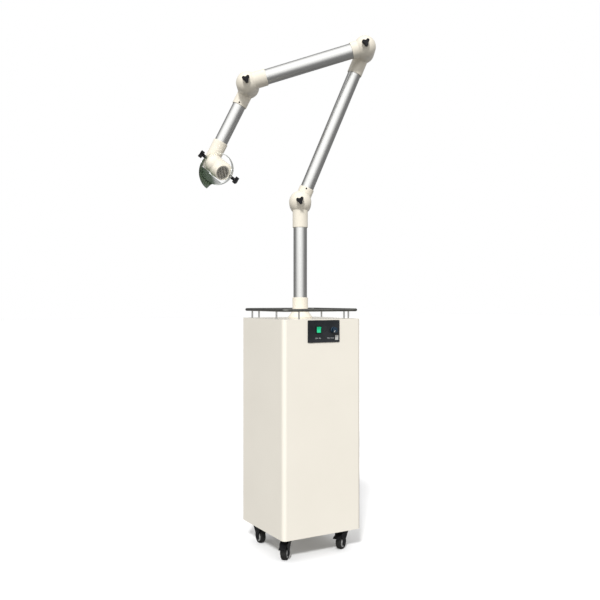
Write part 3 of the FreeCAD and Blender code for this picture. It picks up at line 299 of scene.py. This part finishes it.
dress(cream_paint, "base_plate", "cabinet_shell", "rear_panel", "top_plate")
for node, metal in tube_metals.items():
    dress(metal, node)
dress(rail_steel, "gallery_rail")
dress(post_steel, "rail_posts")
dress(black_plastic, "switch_housing", "power_inlet", "speed_potentiometer")
dress(guard_grey, "inlet_guard")
dress(white_nylon, "swivel_bush")
dress(grey_plastic, "intake_duct", "filter_housing", "blower_housing", "blower_impeller")
dress(filter_paper, "pre_filter", "hepa_filter")
dress(charcoal, "carbon_filter")
dress(board_green, "control_board")
dress(foot_rubber, "blower_feet")
dress(black_steel, "caster_plates")
dress(zinc_steel, "cabinet_screws", "hood_studs", "caster_bolts", "blower_motor", "board_standoffs",
      "elbow_1_bolt", "elbow_2_bolt", "elbow_3_bolt")
print("dressed the solids that keep their shape")


# %% [markdown]
# Curved solids come as many small flat faces. Smooth shading with sharp edges kept at real corners
# makes the tubes and the rail round without touching a vertex.

# %% Round shading for curved solids
def shade_round(mesh, corner=35):
    """Smooth shading except where faces meet at a corner."""
    mesh.shade_smooth()
    mesh.set_sharp_from_angle(angle=math.radians(corner))


curved = [*tube_ways, "gallery_rail", "rail_posts", "cabinet_shell", "top_plate", "base_plate", "inlet_guard",
          "elbow_1_bolt", "elbow_2_bolt", "elbow_3_bolt"]
for name in curved:
    shade_round(nodes[name].data)
print("smooth shading on", len(curved), "solids")


# %% [markdown]
# New pieces are built in a bmesh, moved to their place in the mesh itself, and ride on the body that
# carries them. The helper below ends every piece in the same way, so that no piece is left behind.

# %% Ending a piece
def piece(name, bm, body, finish, stands_for=(), round_by=0.0, segments=3):
    """Turn a bmesh into a finished object on a body, with rounded edges where asked."""
    mesh = bpy.data.meshes.new(name)
    bm.to_mesh(mesh)
    bm.free()
    mesh.materials.append(finish)
    shade_round(mesh)
    made = bpy.data.objects.new(name, mesh)
    scene.collection.objects.link(made)
    if round_by:
        edges = made.modifiers.new("rounded edges", "BEVEL")
        edges.width = round_by
        edges.segments = segments
        edges.limit_method = "ANGLE"
        edges.angle_limit = math.radians(40)
        edges.harden_normals = False
    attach(made, body)
    if stands_for:
        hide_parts(*stands_for)
    print("piece", name, "with", len(mesh.polygons), "faces")
    return made


# %% [markdown]
# The elbows are two moulded cups that turn on each other. In a mould every corner has a radius and
# the socket flows into the cup. Booleans and bevels could do that, edge by edge. A quicker way is to
# copy the exact solid, weld it, remesh it finely and let a few smoothing passes round every corner.

# %% Moulded copies of the elbow halves and the nozzle
MOULD_GRAIN = 1.3 * MM
SOFT_PASSES = 6


def moulded_copy(node, body, finish, grain_size):
    """A copy of a solid with a fine even mesh and softly rounded corners."""
    bm = bmesh.new()
    bm.from_mesh(nodes[node].data)
    bmesh.ops.remove_doubles(bm, verts=bm.verts, dist=1e-5)
    made = piece(node + "_moulded", bm, body, finish, stands_for=(node,))
    even = made.modifiers.new("even mesh", "REMESH")
    even.mode = "VOXEL"
    even.voxel_size = grain_size
    even.use_smooth_shade = True
    soft = made.modifiers.new("soft corners", "SMOOTH")
    soft.factor = 0.5
    soft.iterations = SOFT_PASSES


ivory_bodies = {
    "elbow_1_front": "post",
    "elbow_1_rear": "lower_arm",
    "elbow_2_rear": "lower_arm",
    "elbow_2_front": "upper_arm",
    "elbow_3_front": "upper_arm",
    "elbow_3_rear": "forearm",
    "nozzle_head": "nozzle",
}
for node, body in ivory_bodies.items():
    moulded_copy(node, body, ivory_plastic, MOULD_GRAIN)


# %% [markdown]
# The flange that carries the post is one moulding that looks turned: a flat rim, a cone and a tall
# collar. A spun profile gives it in a few points, and a bevel rounds its corners.

# %% Post flange
def turned(profile, steps=96, closed=True):
    """Spin (radius, height) points round z."""
    bm = bmesh.new()
    points = [bm.verts.new((radius, 0, height)) for radius, height in profile]
    pairs = list(zip(points, points[1:]))
    if closed:
        pairs.append((points[-1], points[0]))
    lines = [bm.edges.new(pair) for pair in pairs]
    bmesh.ops.spin(bm, geom=points + lines, cent=(0, 0, 0), axis=(0, 0, 1), angle=math.tau, steps=steps,
                   use_merge=True)
    bmesh.ops.remove_doubles(bm, verts=bm.verts, dist=1e-6)
    bmesh.ops.recalc_face_normals(bm, faces=bm.faces)
    return bm


flange_low, flange_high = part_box("arm_flange")
flange_radius = flange_high.x
flange_height = flange_high.z - flange_low.z
COLLAR_RADIUS = 28.5 * MM
COLLAR_BORE = 25.4 * MM
RIM_HEIGHT = 5 * MM
CONE_TOP = 24 * MM
COLLAR_FOOT = 30 * MM
flange_profile = [
    (COLLAR_BORE, 1 * MM),
    (flange_radius, 0),
    (flange_radius, RIM_HEIGHT),
    (flange_radius - 2 * MM, RIM_HEIGHT + 2.5 * MM),
    (COLLAR_RADIUS + 2.5 * MM, CONE_TOP),
    (COLLAR_RADIUS, COLLAR_FOOT),
    (COLLAR_RADIUS, flange_height),
    (COLLAR_BORE, flange_height),
]
flange = turned(flange_profile)
bmesh.ops.translate(flange, verts=flange.verts, vec=(0, 0, flange_low.z))
piece("arm_flange_moulded", flange, "cabinet", ivory_plastic, ("arm_flange",), 1.2 * MM)


# %% [markdown]
# The clamp knobs have three lobes so that a gloved hand can turn them. Three round lobes stand out of
# a slim core: the outline takes, in every direction, whichever of them reaches furthest. An extrusion
# gives the grip, a bevel rounds it like a real moulding, and a short hub joins it to the elbow.

# %% Shape of a three-lobed knob
KNOB_CORE = 7.5 * MM
LOBE_RADIUS = 6 * MM
LOBE_REACH = 9 * MM
LOBE_TURN = math.radians(45)
GRIP_LENGTH = 13 * MM
HUB_OVERLAP = 1 * MM


def lobed_radius(direction):
    """How far the knob reaches in a direction round its axis."""
    turn = (direction - LOBE_TURN + math.tau / 6) % (math.tau / 3) - math.tau / 6
    aside = LOBE_REACH * math.sin(turn)
    if abs(aside) > LOBE_RADIUS:
        return KNOB_CORE
    return max(KNOB_CORE, LOBE_REACH * math.cos(turn) + math.sqrt(LOBE_RADIUS ** 2 - aside ** 2))


def raise_faces(bm, faces, rise):
    """Give flat faces a thickness along a vector, with all faces outwards."""
    grown = bmesh.ops.extrude_face_region(bm, geom=faces, use_keep_orig=True)["geom"]
    raised = [part for part in grown if isinstance(part, bmesh.types.BMVert)]
    bmesh.ops.translate(bm, verts=raised, vec=rise)
    bmesh.ops.recalc_face_normals(bm, faces=bm.faces)


def lobed_knob(hub_length, hub_radius):
    """A knob standing on the origin along z."""
    bm = bmesh.new()
    rim = bmesh.ops.create_circle(bm, cap_ends=True, segments=120, radius=1)["verts"]
    for point in rim:
        point.co *= lobed_radius(math.atan2(point.co.y, point.co.x))
        point.co.z = hub_length
    raise_faces(bm, bm.faces[:], Z_AXIS * GRIP_LENGTH)
    depth = hub_length + HUB_OVERLAP
    bmesh.ops.create_cone(bm, cap_ends=True, segments=48, radius1=hub_radius, radius2=hub_radius, depth=depth,
                          matrix=Matrix.Translation((0, 0, depth / 2)))
    bmesh.ops.recalc_face_normals(bm, faces=bm.faces)
    return bm


# %% Knobs on the elbows and on the hood
KNOB_ROUNDING = 1.4 * MM
BOSS_FACE = 43.3 * MM
BOSS_HUB_LENGTH = 5 * MM
BOSS_HUB_RADIUS = 8.5 * MM
knob_side = arm_front.cross(Z_AXIS) * -1
for number, centre in enumerate(elbows, start=1):
    knob = lobed_knob(BOSS_HUB_LENGTH, BOSS_HUB_RADIUS)
    knob.transform(standing(centre + arm_front * BOSS_FACE, arm_front, knob_side))
    piece(f"elbow_{number}_knob_moulded", knob, f"clamp_knob_{number}", black_plastic,
          (f"elbow_{number}_knob",), KNOB_ROUNDING)

EAR_FACE = 60.3 * MM
EAR_HUB_LENGTH = 13 * MM
EAR_HUB_RADIUS = 6 * MM
hood_place, hood_axle = joint("hood_tilt")
for label, sign in (("left", -1), ("right", 1)):
    knob = lobed_knob(EAR_HUB_LENGTH, EAR_HUB_RADIUS)
    knob.transform(standing(hood_place + hood_axle * sign * EAR_FACE, hood_axle * sign, arm_front))
    piece(f"hood_knob_{label}_moulded", knob, f"hood_clamp_{label}", black_plastic,
          (f"hood_knob_{label}",), KNOB_ROUNDING)


# %% [markdown]
# The hood is clear plastic with a green tint. Towards its lip the green deepens into painted shade,
# dark on that one side. Two materials could meet at a line, but the tone fades, so one shader mixes
# both tones along a direction that is fixed to the hood. The hood sits a little below its axle and
# leans back from the front of the arm.

# %% Clear hood finish
HOOD_DROP = 6 * MM
HOOD_LEAN = math.radians(8)
# Painted shade: the hood's green deepens along this turn, towards the lip.
TINT_AND_SHADE_TURN = math.radians(-127)
CLEAR_UP_TO = 16 * MM
LIP_TINT_AND_SHADE_FROM = 34 * MM
hood_out = Matrix.Rotation(HOOD_LEAN, 3, hood_axle) @ arm_front
hood_frame = standing(hood_place, hood_out, hood_axle) @ Matrix.Translation((0, -HOOD_DROP, 0))
hood_middle = hood_frame.translation
tint_and_shade_way = (hood_frame.to_3x3() @ Vector((math.cos(TINT_AND_SHADE_TURN), math.sin(TINT_AND_SHADE_TURN), 0))).normalized()


def zone(tree, place, along, start, end):
    """A soft step from 0 to 1 along a direction, in metres from the middle of the hood."""
    dot = tree.nodes.new("ShaderNodeVectorMath")
    dot.operation = "DOT_PRODUCT"
    dot.inputs[1].default_value = along
    tree.links.new(place, dot.inputs[0])
    step = tree.nodes.new("ShaderNodeMapRange")
    step.interpolation_type = "SMOOTHSTEP"
    step.inputs["From Min"].default_value = hood_middle.dot(along) + start
    step.inputs["From Max"].default_value = hood_middle.dot(along) + end
    tree.links.new(dot.outputs["Value"], step.inputs["Value"])
    return step.outputs["Result"]


def hood_plastic(name, clear, lip_tint_and_shade):
    """Clear green-tinted plastic that deepens into painted shade towards the lip."""
    finish, tree, shader, place = new_finish(name)
    tint = ramp(tree, zone(tree, place, tint_and_shade_way, CLEAR_UP_TO, LIP_TINT_AND_SHADE_FROM), clear, lip_tint_and_shade, 0.0, 1.0)
    tree.links.new(tint, shader.inputs["Base Color"])
    tree.links.new(span(tree, noise(tree, place, 60), 0.04, 0.12), shader.inputs["Roughness"])
    shader.inputs["Transmission Weight"].default_value = 1.0
    shader.inputs["IOR"].default_value = 1.3
    print("finish", name)
    return finish


# The lip tone is the hood's green deepened into painted shade.
clear_hood = hood_plastic("clear_hood_tint_and_painted_shade", (0.93, 0.95, 0.92), (0.15, 0.215, 0.14))


# %% [markdown]
# In form the hood is a moulded trumpet round the barrel. A slanting scoop and a steep notch cut its rim,
# so that only one side runs out into a pointed lip. Cutting a thick trumpet would leave ragged rims. It
# is spun as a single skin instead, trimmed with bisections, and given its thickness last.

# %% Trumpet of the hood
HOOD_WALL = 2.5 * MM
HOOD_RADIUS = 59 * MM
HOOD_STRAIGHT = 30 * MM
HOOD_REACH = 70.2 * MM
HOOD_FLARE = 22.9 * MM
BEAD = 1 * MM
FLARE_STEPS = 14
flare_bend = (HOOD_FLARE ** 2 + (HOOD_REACH - HOOD_STRAIGHT) ** 2) / (2 * HOOD_FLARE)
flare_turn = math.asin((HOOD_REACH - HOOD_STRAIGHT) / flare_bend)
skin_profile = [(HOOD_RADIUS + BEAD, 0), (HOOD_RADIUS + BEAD, 3 * MM), (HOOD_RADIUS, 4 * MM)]
for step in range(FLARE_STEPS + 1):
    angle = flare_turn * step / FLARE_STEPS
    out = flare_bend * (1 - math.cos(angle))
    skin_profile.append((HOOD_RADIUS + out, HOOD_STRAIGHT + flare_bend * math.sin(angle)))
hood = turned(skin_profile, steps=128, closed=False)
print("trumpet of", len(hood.faces), "faces")


# %% Scoop and notch of the hood
def slice_skin(skin, point, normal, **drop):
    """Cut a skin along a plane."""
    bmesh.ops.bisect_plane(skin, geom=skin.verts[:] + skin.edges[:] + skin.faces[:], dist=1e-6,
                           plane_co=point, plane_no=normal, **drop)


def round_axis(degrees):
    """A unit vector across the hood's axis."""
    return Vector((math.cos(math.radians(degrees)), math.sin(math.radians(degrees)), 0))


SCOOP_SLOPE = math.radians(22.8)
SCOOP_TURN = -67
SCOOP_RISE = 5.5 * MM
NOTCH_TURN = -73
NOTCH_LEAN = 18
NOTCH_RISE = 8 * MM
scoop_up = Z_AXIS * math.cos(SCOOP_SLOPE) - round_axis(SCOOP_TURN) * math.sin(SCOOP_SLOPE)
slice_skin(hood, Z_AXIS * (HOOD_STRAIGHT + SCOOP_RISE), scoop_up, clear_outer=True)
notch_floor = Z_AXIS * (HOOD_STRAIGHT + NOTCH_RISE)
notch_side = round_axis(NOTCH_TURN) * (HOOD_RADIUS + HOOD_FLARE)
notch_way = round_axis(NOTCH_TURN - NOTCH_LEAN + 90)
slice_skin(hood, notch_floor, Z_AXIS)
slice_skin(hood, notch_side, notch_way)
notched = [face for face in hood.faces
           if face.calc_center_median().z > notch_floor.z
           and (face.calc_center_median() - notch_side).dot(notch_way) > 0]
bmesh.ops.delete(hood, geom=notched, context="FACES")
print("trimmed to", len(hood.faces), "faces")

# %% Wall of the hood
bmesh.ops.recalc_face_normals(hood, faces=hood.faces)
outwards = sum(face.normal.dot(face.calc_center_median() * Vector((1, 1, 0))) for face in hood.faces)
if outwards < 0:
    bmesh.ops.reverse_faces(hood, faces=hood.faces)
bmesh.ops.solidify(hood, geom=hood.faces[:], thickness=HOOD_WALL)
straight_radii = [point.co.xy.length / MM for point in hood.verts if 5 * MM < point.co.z < HOOD_STRAIGHT]
print("hood wall from", round(min(straight_radii), 2), "to", round(max(straight_radii), 2), "mm, of",
      round(hood.calc_volume(signed=True) / MM ** 3), "cubic mm")
hood.transform(hood_frame)
piece("suction_hood_clear", hood, "hood", clear_hood, ("suction_hood",), 0.7 * MM, 2)


# %% [markdown]
# A flat wall closes the back of the hood behind the lip, and leaves the barrel and its inlet free. The
# outline could be drawn point by point. A round plate that is sliced along three planes keeps its rim
# true to the hood, so it starts as a circle. It stays a little thinner than the bead that it sits in.

# %% Back wall of the hood
BARREL_LEVEL = 28.5 * MM
INLET_LEVEL = 33 * MM
INLET_SIDE = 16 * MM
BACK_INSET = 0.2 * MM
back = bmesh.new()
bmesh.ops.create_circle(back, cap_ends=True, segments=192, radius=HOOD_RADIUS - HOOD_WALL / 2)
slice_skin(back, Y_AXIS * -BARREL_LEVEL, Y_AXIS, clear_outer=True)
slice_skin(back, Y_AXIS * -INLET_LEVEL, Y_AXIS)
slice_skin(back, X_AXIS * -INLET_SIDE, X_AXIS)
under_inlet = [face for face in back.faces
               if face.calc_center_median().y > -INLET_LEVEL and face.calc_center_median().x > -INLET_SIDE]
bmesh.ops.delete(back, geom=under_inlet, context="FACES")
raise_faces(back, back.faces[:], Z_AXIS * (HOOD_WALL - 2 * BACK_INSET))
bmesh.ops.translate(back, verts=back.verts, vec=Z_AXIS * BACK_INSET)
back.transform(hood_frame)
piece("suction_hood_back_wall", back, "hood", clear_hood, (), 0.4 * MM, 2)


# %% [markdown]
# Casters. Each wheel is a black tyre on a pale hub. One spun profile with two materials would do, but
# two profiles keep the line between them crisp. Half of each is drawn and mirrored in the wheel's middle.

# %% Wheels
WHEEL_RADIUS = 25 * MM
WHEEL_HALF = 11 * MM
HUB_RADIUS = 17.5 * MM
AXLE_RADIUS = 4.1 * MM
CORNERS = ("fl", "fr", "rl", "rr")
tyre_half = [
    (HUB_RADIUS - 0.5 * MM, 0),
    (HUB_RADIUS - 0.5 * MM, WHEEL_HALF - 1.6 * MM),
    (HUB_RADIUS + 1 * MM, WHEEL_HALF - 0.6 * MM),
    (WHEEL_RADIUS - 3 * MM, WHEEL_HALF - 0.6 * MM),
    (WHEEL_RADIUS - 1 * MM, WHEEL_HALF - 2.2 * MM),
    (WHEEL_RADIUS, WHEEL_HALF - 5 * MM),
]
hub_half = [
    (AXLE_RADIUS, 0),
    (AXLE_RADIUS, WHEEL_HALF),
    (9 * MM, WHEEL_HALF),
    (11 * MM, WHEEL_HALF - 3 * MM),
    (14.5 * MM, WHEEL_HALF - 3 * MM),
    (15.5 * MM, WHEEL_HALF - 1.4 * MM),
    (HUB_RADIUS, WHEEL_HALF - 1.4 * MM),
    (HUB_RADIUS, 0),
]


def both_sides(half):
    """A profile mirrored in the middle plane of a wheel."""
    mirrored = [(radius, -height) for radius, height in reversed(half) if height]
    return mirrored + half


for corner in CORNERS:
    place, axle = joint(f"wheel_{corner}_spin")
    stand = standing(place, axle, Z_AXIS)
    tyre = turned(both_sides(tyre_half))
    tyre.transform(stand)
    piece(f"caster_tyre_{corner}", tyre, f"wheel_{corner}", tyre_rubber, (f"caster_wheel_{corner}",),
          0.5 * MM, 2)
    hub = turned(both_sides(hub_half))
    hub.transform(stand)
    piece(f"caster_hub_{corner}", hub, f"wheel_{corner}", hub_grey, (), 0.4 * MM, 2)


# %% [markdown]
# The forks and the brake pedals are moulded nylon, so they get the same soft copies as the elbows. The
# pedals turn close inside the forks: a finer mesh keeps the gap between them open.

# %% Forks and pedals
FORK_GRAIN = 0.6 * MM
PEDAL_GRAIN = 0.45 * MM
for corner in CORNERS:
    moulded_copy(f"caster_fork_{corner}", f"caster_{corner}", black_plastic, FORK_GRAIN)
for corner in ("fl", "fr"):
    moulded_copy(f"brake_pedal_{corner}", f"brake_{corner}", black_plastic, PEDAL_GRAIN)


# %% [markdown]
# The control panel is a black plate with softened edges. A bevel modifier alone would round all edges
# alike, so the four corners get a larger bevel in the mesh first, and an inset sinks the face a little.

# %% Panel plate
def block(bm, place, size, stand=Matrix()):
    """Add a box with its middle at a place of a stand, and give its corner points."""
    matrix = stand @ Matrix.Translation(place) @ Matrix.Diagonal((*size, 1))
    return bmesh.ops.create_cube(bm, size=1, matrix=matrix)["verts"]


panel_low, panel_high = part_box("control_panel")
panel_face = panel_low.y
plate = bmesh.new()
block(plate, (panel_low + panel_high) / 2, panel_high - panel_low)
corner_edges = [edge for edge in plate.edges
                if abs((edge.verts[0].co - edge.verts[1].co).normalized().y) > 0.9]
bmesh.ops.bevel(plate, geom=corner_edges, offset=2.5 * MM, segments=5, profile=0.5, affect="EDGES",
                material=-1)
front = [face for face in plate.faces if face.normal.y < -0.9]
bmesh.ops.inset_region(plate, faces=front, thickness=1.2 * MM, depth=-0.3 * MM)
piece("control_panel_plate", plate, "cabinet", black_panel, ("control_panel",), 0.4 * MM, 2)


# %% [markdown]
# Two small captions and a bare label are printed on the panel. Captions say only what any such panel
# says. Text starts as a font curve and is turned into a mesh, because the finished model holds meshes
# only. Paint in a material would be flatter, but needs an image.

# %% Captions and blank label
CAPTION_HEIGHT = 6 * MM
CAPTION_RISE = 14.5 * MM
PRINT_THICKNESS = 0.05 * MM


def caption(name, words, x):
    """Small printed words on the panel, centred on x."""
    curve = bpy.data.curves.new(name, "FONT")
    curve.body = words
    curve.size = CAPTION_HEIGHT
    curve.align_x = "CENTER"
    curve.align_y = "CENTER"
    curve.extrude = PRINT_THICKNESS
    text = bpy.data.objects.new(name, curve)
    scene.collection.objects.link(text)
    bpy.context.view_layer.update()
    mesh = bpy.data.meshes.new_from_object(text)
    bpy.data.objects.remove(text)
    bm = bmesh.new()
    bm.from_mesh(mesh)
    spot = Matrix.Translation((x, panel_face + 0.25 * MM, panel_low.z + CAPTION_RISE))
    bmesh.ops.transform(bm, matrix=spot @ Matrix.Rotation(math.radians(90), 4, "X"), verts=bm.verts)
    piece(name, bm, "cabinet", print_grey, ())


rocker_place = joint("rocker_tilt")[0]
dial_place = joint("speed_dial_turn")[0]
caption("caption_switch", "OFF  ON", rocker_place.x - 2 * MM)
caption("caption_dial", "MIN  MAX", dial_place.x - 10 * MM)
label = bmesh.new()
label_size = (13 * MM, 0.3 * MM, 17 * MM)
block(label, (panel_high.x - 12 * MM, panel_face + 0.2 * MM, panel_low.z + 16 * MM), label_size)
piece("blank_label", label, "cabinet", label_grey, (), 0.1 * MM, 2)


# %% [markdown]
# The rocker is a shallow saddle that tips on a pin. Its side outline is drawn once and extruded
# across, then its edges are rounded. It already leans to the lit side.

# %% Rocker
ROCKER_WIDTH = 16 * MM
ROCKER_LEAN = math.radians(7)
rocker_outline = [(-3, -10), (-3, 10), (6.5, 10), (5.0, 5), (4.5, 0), (5.0, -5), (6.5, -10)]
rocker = bmesh.new()
flank_points = [rocker.verts.new((-ROCKER_WIDTH / 2, -out * MM, rise * MM)) for out, rise in rocker_outline]
flank = rocker.faces.new(flank_points)
raise_faces(rocker, [flank], X_AXIS * ROCKER_WIDTH)
rocker.transform(Matrix.Translation(rocker_place) @ Matrix.Rotation(ROCKER_LEAN, 4, "X"))
piece("rocker_switch_lit", rocker, "rocker", green_rocker, ("rocker_switch",), 0.7 * MM)


# %% [markdown]
# The dial has a skirt, a fluted grip and a white pointer. The grip starts as a circle with many
# points: every second pair is pulled in to make flutes, and an extrusion raises it.

# %% Dial
DIAL_RADIUS = 11 * MM
DIAL_BORE = 2 * MM
DIAL_GAP = 2.3 * MM
SKIRT_HEIGHT = 3 * MM
GRIP_POINTS = 96
GRIP_RISE = 11.5 * MM
FLUTE_SHARE = 0.93
dial = turned([(DIAL_BORE, 0), (DIAL_RADIUS, 0), (DIAL_RADIUS, SKIRT_HEIGHT - 1 * MM),
               (DIAL_RADIUS - 0.8 * MM, SKIRT_HEIGHT), (DIAL_BORE, SKIRT_HEIGHT)], 72)
rim = bmesh.ops.create_circle(dial, cap_ends=True, segments=GRIP_POINTS,
                              radius=DIAL_RADIUS - 1.2 * MM)["verts"]
for count, point in enumerate(rim):
    if count % 4 < 2:
        point.co *= FLUTE_SHARE
    point.co.z = SKIRT_HEIGHT - 0.5 * MM
grip_face = [face for face in dial.faces if len(face.verts) == GRIP_POINTS]
raise_faces(dial, grip_face, Z_AXIS * GRIP_RISE)
dial_stand = standing(Vector((dial_place.x, panel_face - DIAL_GAP, dial_place.z)), -Y_AXIS, X_AXIS)
dial.transform(dial_stand)
piece("speed_knob_fluted", dial, "dial", blue_dial, ("speed_knob",), 0.5 * MM, 2)

# %% Pointer of the dial
POINTER_TURN = math.radians(145)
pointer_size = (2.0 * MM, 8 * MM, 0.7 * MM)
pointer = bmesh.new()
pointer_stand = dial_stand @ Matrix.Rotation(POINTER_TURN, 4, "Z")
block(pointer, (0, 5.2 * MM, SKIRT_HEIGHT - 0.5 * MM + GRIP_RISE + 0.1 * MM), pointer_size, pointer_stand)
piece("dial_pointer", pointer, "dial", label_grey, (), 0.2 * MM, 2)


# %% [markdown]
# Small screws hold the sockets to the tubes. Each is a low spun dome with a raised bar across it to
# turn it by, and sits where the photograph shows a dark dot.

# %% Socket screws
HEAD_RADIUS = 3.2 * MM
HEAD_HEIGHT = 1.4 * MM
SOCKET_RADIUS = 28 * MM
REAR_STEP = 64 * MM
LOWER_SCREW = 60 * MM
FORE_SCREW = 70 * MM


def socket_screw(name, place, out, along, body):
    """A low domed screw head with a bar across it."""
    head = [(0, 0), (HEAD_RADIUS, 0), (HEAD_RADIUS, 0.4 * MM), (2.4 * MM, 1.1 * MM), (0, HEAD_HEIGHT)]
    bm = turned(head, 32, closed=False)
    block(bm, (0, 0, HEAD_HEIGHT - 0.1 * MM), (5 * MM, 0.8 * MM, 0.6 * MM))
    bm.transform(standing(place, out, along))
    piece(name, bm, body, black_steel, ())


screw_spots = {
    "lower_socket_screw": (elbows[0], tube_ways["lower_arm_tube"], LOWER_SCREW, "lower_arm"),
    "fore_socket_screw": (elbows[2], forearm_way, FORE_SCREW, "forearm"),
}
for name, (elbow, way, step, body) in screw_spots.items():
    place = elbow - arm_front * REAR_STEP + way * step
    socket_screw(name, place + arm_front * (SOCKET_RADIUS - 0.2 * MM), arm_front, way, body)


# %% [markdown]
# The rear panel breathes through pressed louvres. Each is a slanted eyelid over its slot: a strip
# whose upper edge joins the sheet and whose lower edge stands out. A sheared box gives that strip, and
# rows of it stand over the slots of the solid.

# %% Louvre lids
LID_WIDTH = 80 * MM
LID_DROP = 7 * MM
LID_OUT = 5 * MM
LID_SHEET = 1 * MM
LID_TOP = 7.5 * MM
LOUVRE_ASIDE = 55 * MM
LOUVRE_PITCH = 15 * MM
rear_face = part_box("rear_panel")[1].y
cabinet_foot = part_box("base_plate")[0].z
cabinet_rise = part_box("top_plate")[1].z - cabinet_foot
louvre_rows = [(cabinet_rise - 290 * MM, 10), (140 * MM, 6)]
lids = bmesh.new()
for start, count in louvre_rows:
    for row in range(count):
        top = cabinet_foot + start + LOUVRE_PITCH * row + LID_TOP
        for side in (-1, 1):
            spot = (LOUVRE_ASIDE * side, rear_face, top - LID_DROP / 2)
            for point in block(lids, spot, (LID_WIDTH, LID_SHEET, LID_DROP)):
                point.co.y += LID_OUT * (top - point.co.z) / LID_DROP
piece("rear_louvre_lids", lids, "cabinet", cream_paint, (), 0.3 * MM, 2)


# %% [markdown]
# The picture is taken in a plain studio. A backdrop could curve up behind the unit, but a wide pale
# floor under a white world looks the same. The floor is left out of reflections and bounced light, so
# that the world alone shades the undersides.

# %% Floor
FLOOR_HALF = 30
floor_finish = plain_finish("pale_floor", (0.88, 0.88, 0.88), (0.90, 0.90, 0.90), (0.75, 0.85), patch=2,
                            grain=200, depth=0.0001)
ground = bmesh.new()
bmesh.ops.create_grid(ground, x_segments=8, y_segments=8, size=FLOOR_HALF)
floor_mesh = bpy.data.meshes.new("floor")
ground.to_mesh(floor_mesh)
ground.free()
floor_mesh.materials.append(floor_finish)
floor = bpy.data.objects.new("floor", floor_mesh)
scene.collection.objects.link(floor)
floor.visible_glossy = False
floor.visible_diffuse = False
print("floor of", 2 * FLOOR_HALF, "metres")


# %% [markdown]
# The light comes from high on the front left. An area lamp would fade over the floor, so a sun does it,
# a broad one whose shadows have soft edges. Its mirror image is left out, because it would burn white
# lines into the tubes.

# %% Key light
KEY_PLACE = Vector((-2.1, -2.7, 2.8))
key = bpy.data.lights.new("key", "SUN")
key.energy = 2.8
key.angle = math.radians(8)
key_holder = bpy.data.objects.new("key", key)
key_holder.location = KEY_PLACE
key_holder.rotation_euler = (-KEY_PLACE).to_track_quat("-Z", "Y").to_euler()
key_holder.visible_glossy = False
scene.collection.objects.link(key_holder)
print("key light from", tuple(round(value, 2) for value in KEY_PLACE.normalized()))


# %% [markdown]
# The world adds an even light, a little stronger from above. Reflections see something else: a bright
# wall on the side of the sun, and dim sides. That draws a pale band along every tube and dark edges
# beside it, as a soft box would, and needs no lamp in the picture.

# %% Studio world
LIGHT_FROM_BELOW = 0.32
LIGHT_FROM_ABOVE = 0.95
WALL_EDGE = 0.12
DIM_SIDES = 0.36
BRIGHT_WALL = 2.55


def studio_world(name, wall_way):
    """White to the camera, lighter from above, and a bright wall with dim sides for reflections."""
    world = bpy.data.worlds.new(name)
    world.use_nodes = True
    tree = world.node_tree
    sky = tree.nodes["Background"]
    sky.inputs["Color"].default_value = (1, 1, 1, 1)
    place = tree.nodes.new("ShaderNodeTexCoord").outputs["Generated"]
    rays = tree.nodes.new("ShaderNodeLightPath")

    def shades(direction, start, end, low, high):
        """A light level that rises along a direction."""
        along = tree.nodes.new("ShaderNodeVectorMath")
        along.operation = "DOT_PRODUCT"
        along.inputs[1].default_value = direction
        tree.links.new(place, along.inputs[0])
        level = tree.nodes.new("ShaderNodeMapRange")
        level.interpolation_type = "SMOOTHSTEP"
        for socket, value in zip(("From Min", "From Max", "To Min", "To Max"), (start, end, low, high)):
            level.inputs[socket].default_value = value
        tree.links.new(along.outputs["Value"], level.inputs["Value"])
        return level.outputs["Result"]

    def chosen(ray, otherwise, level):
        """One level for a kind of ray and another for the rest."""
        choice = tree.nodes.new("ShaderNodeMix")
        tree.links.new(rays.outputs[ray], choice.inputs["Factor"])
        if isinstance(otherwise, float):
            choice.inputs["A"].default_value = otherwise
        else:
            tree.links.new(otherwise, choice.inputs["A"])
        tree.links.new(level, choice.inputs["B"])
        return choice.outputs["Result"]

    from_above = shades(Z_AXIS, -1, 1, LIGHT_FROM_BELOW, LIGHT_FROM_ABOVE)
    from_wall = shades(wall_way.normalized(), WALL_EDGE, 1.0, DIM_SIDES, BRIGHT_WALL)
    level = chosen("Is Diffuse Ray", 1.0, from_above)
    tree.links.new(chosen("Is Glossy Ray", level, from_wall), sky.inputs["Strength"])
    return world


scene.world = studio_world("studio", KEY_PLACE)
print("world", scene.world.name)


# %% [markdown]
# The camera stands where the photographer stood, level and a little above the top of the cabinet. Its
# place and lens were fitted to the edges of the cabinet, and a tiny shift centres the unit as in the
# photograph. The Standard view keeps the cream and the ivory as bright as they are mixed.

# %% Camera
EYE = Vector((-1.420, -2.466, 0.904))
LOOK = Vector((0.499, 0.8665, 0))
camera_data = bpy.data.cameras.new("camera")
camera_data.sensor_width = 36
camera_data.lens = 46.26
camera_data.shift_x = -0.0004
camera_data.shift_y = -0.0016
camera = bpy.data.objects.new("camera", camera_data)
camera.location = EYE
camera.rotation_euler = LOOK.to_track_quat("-Z", "Y").to_euler()
scene.collection.objects.link(camera)
scene.camera = camera
scene.view_settings.view_transform = "Standard"
print("camera at", tuple(round(value, 2) for value in EYE))
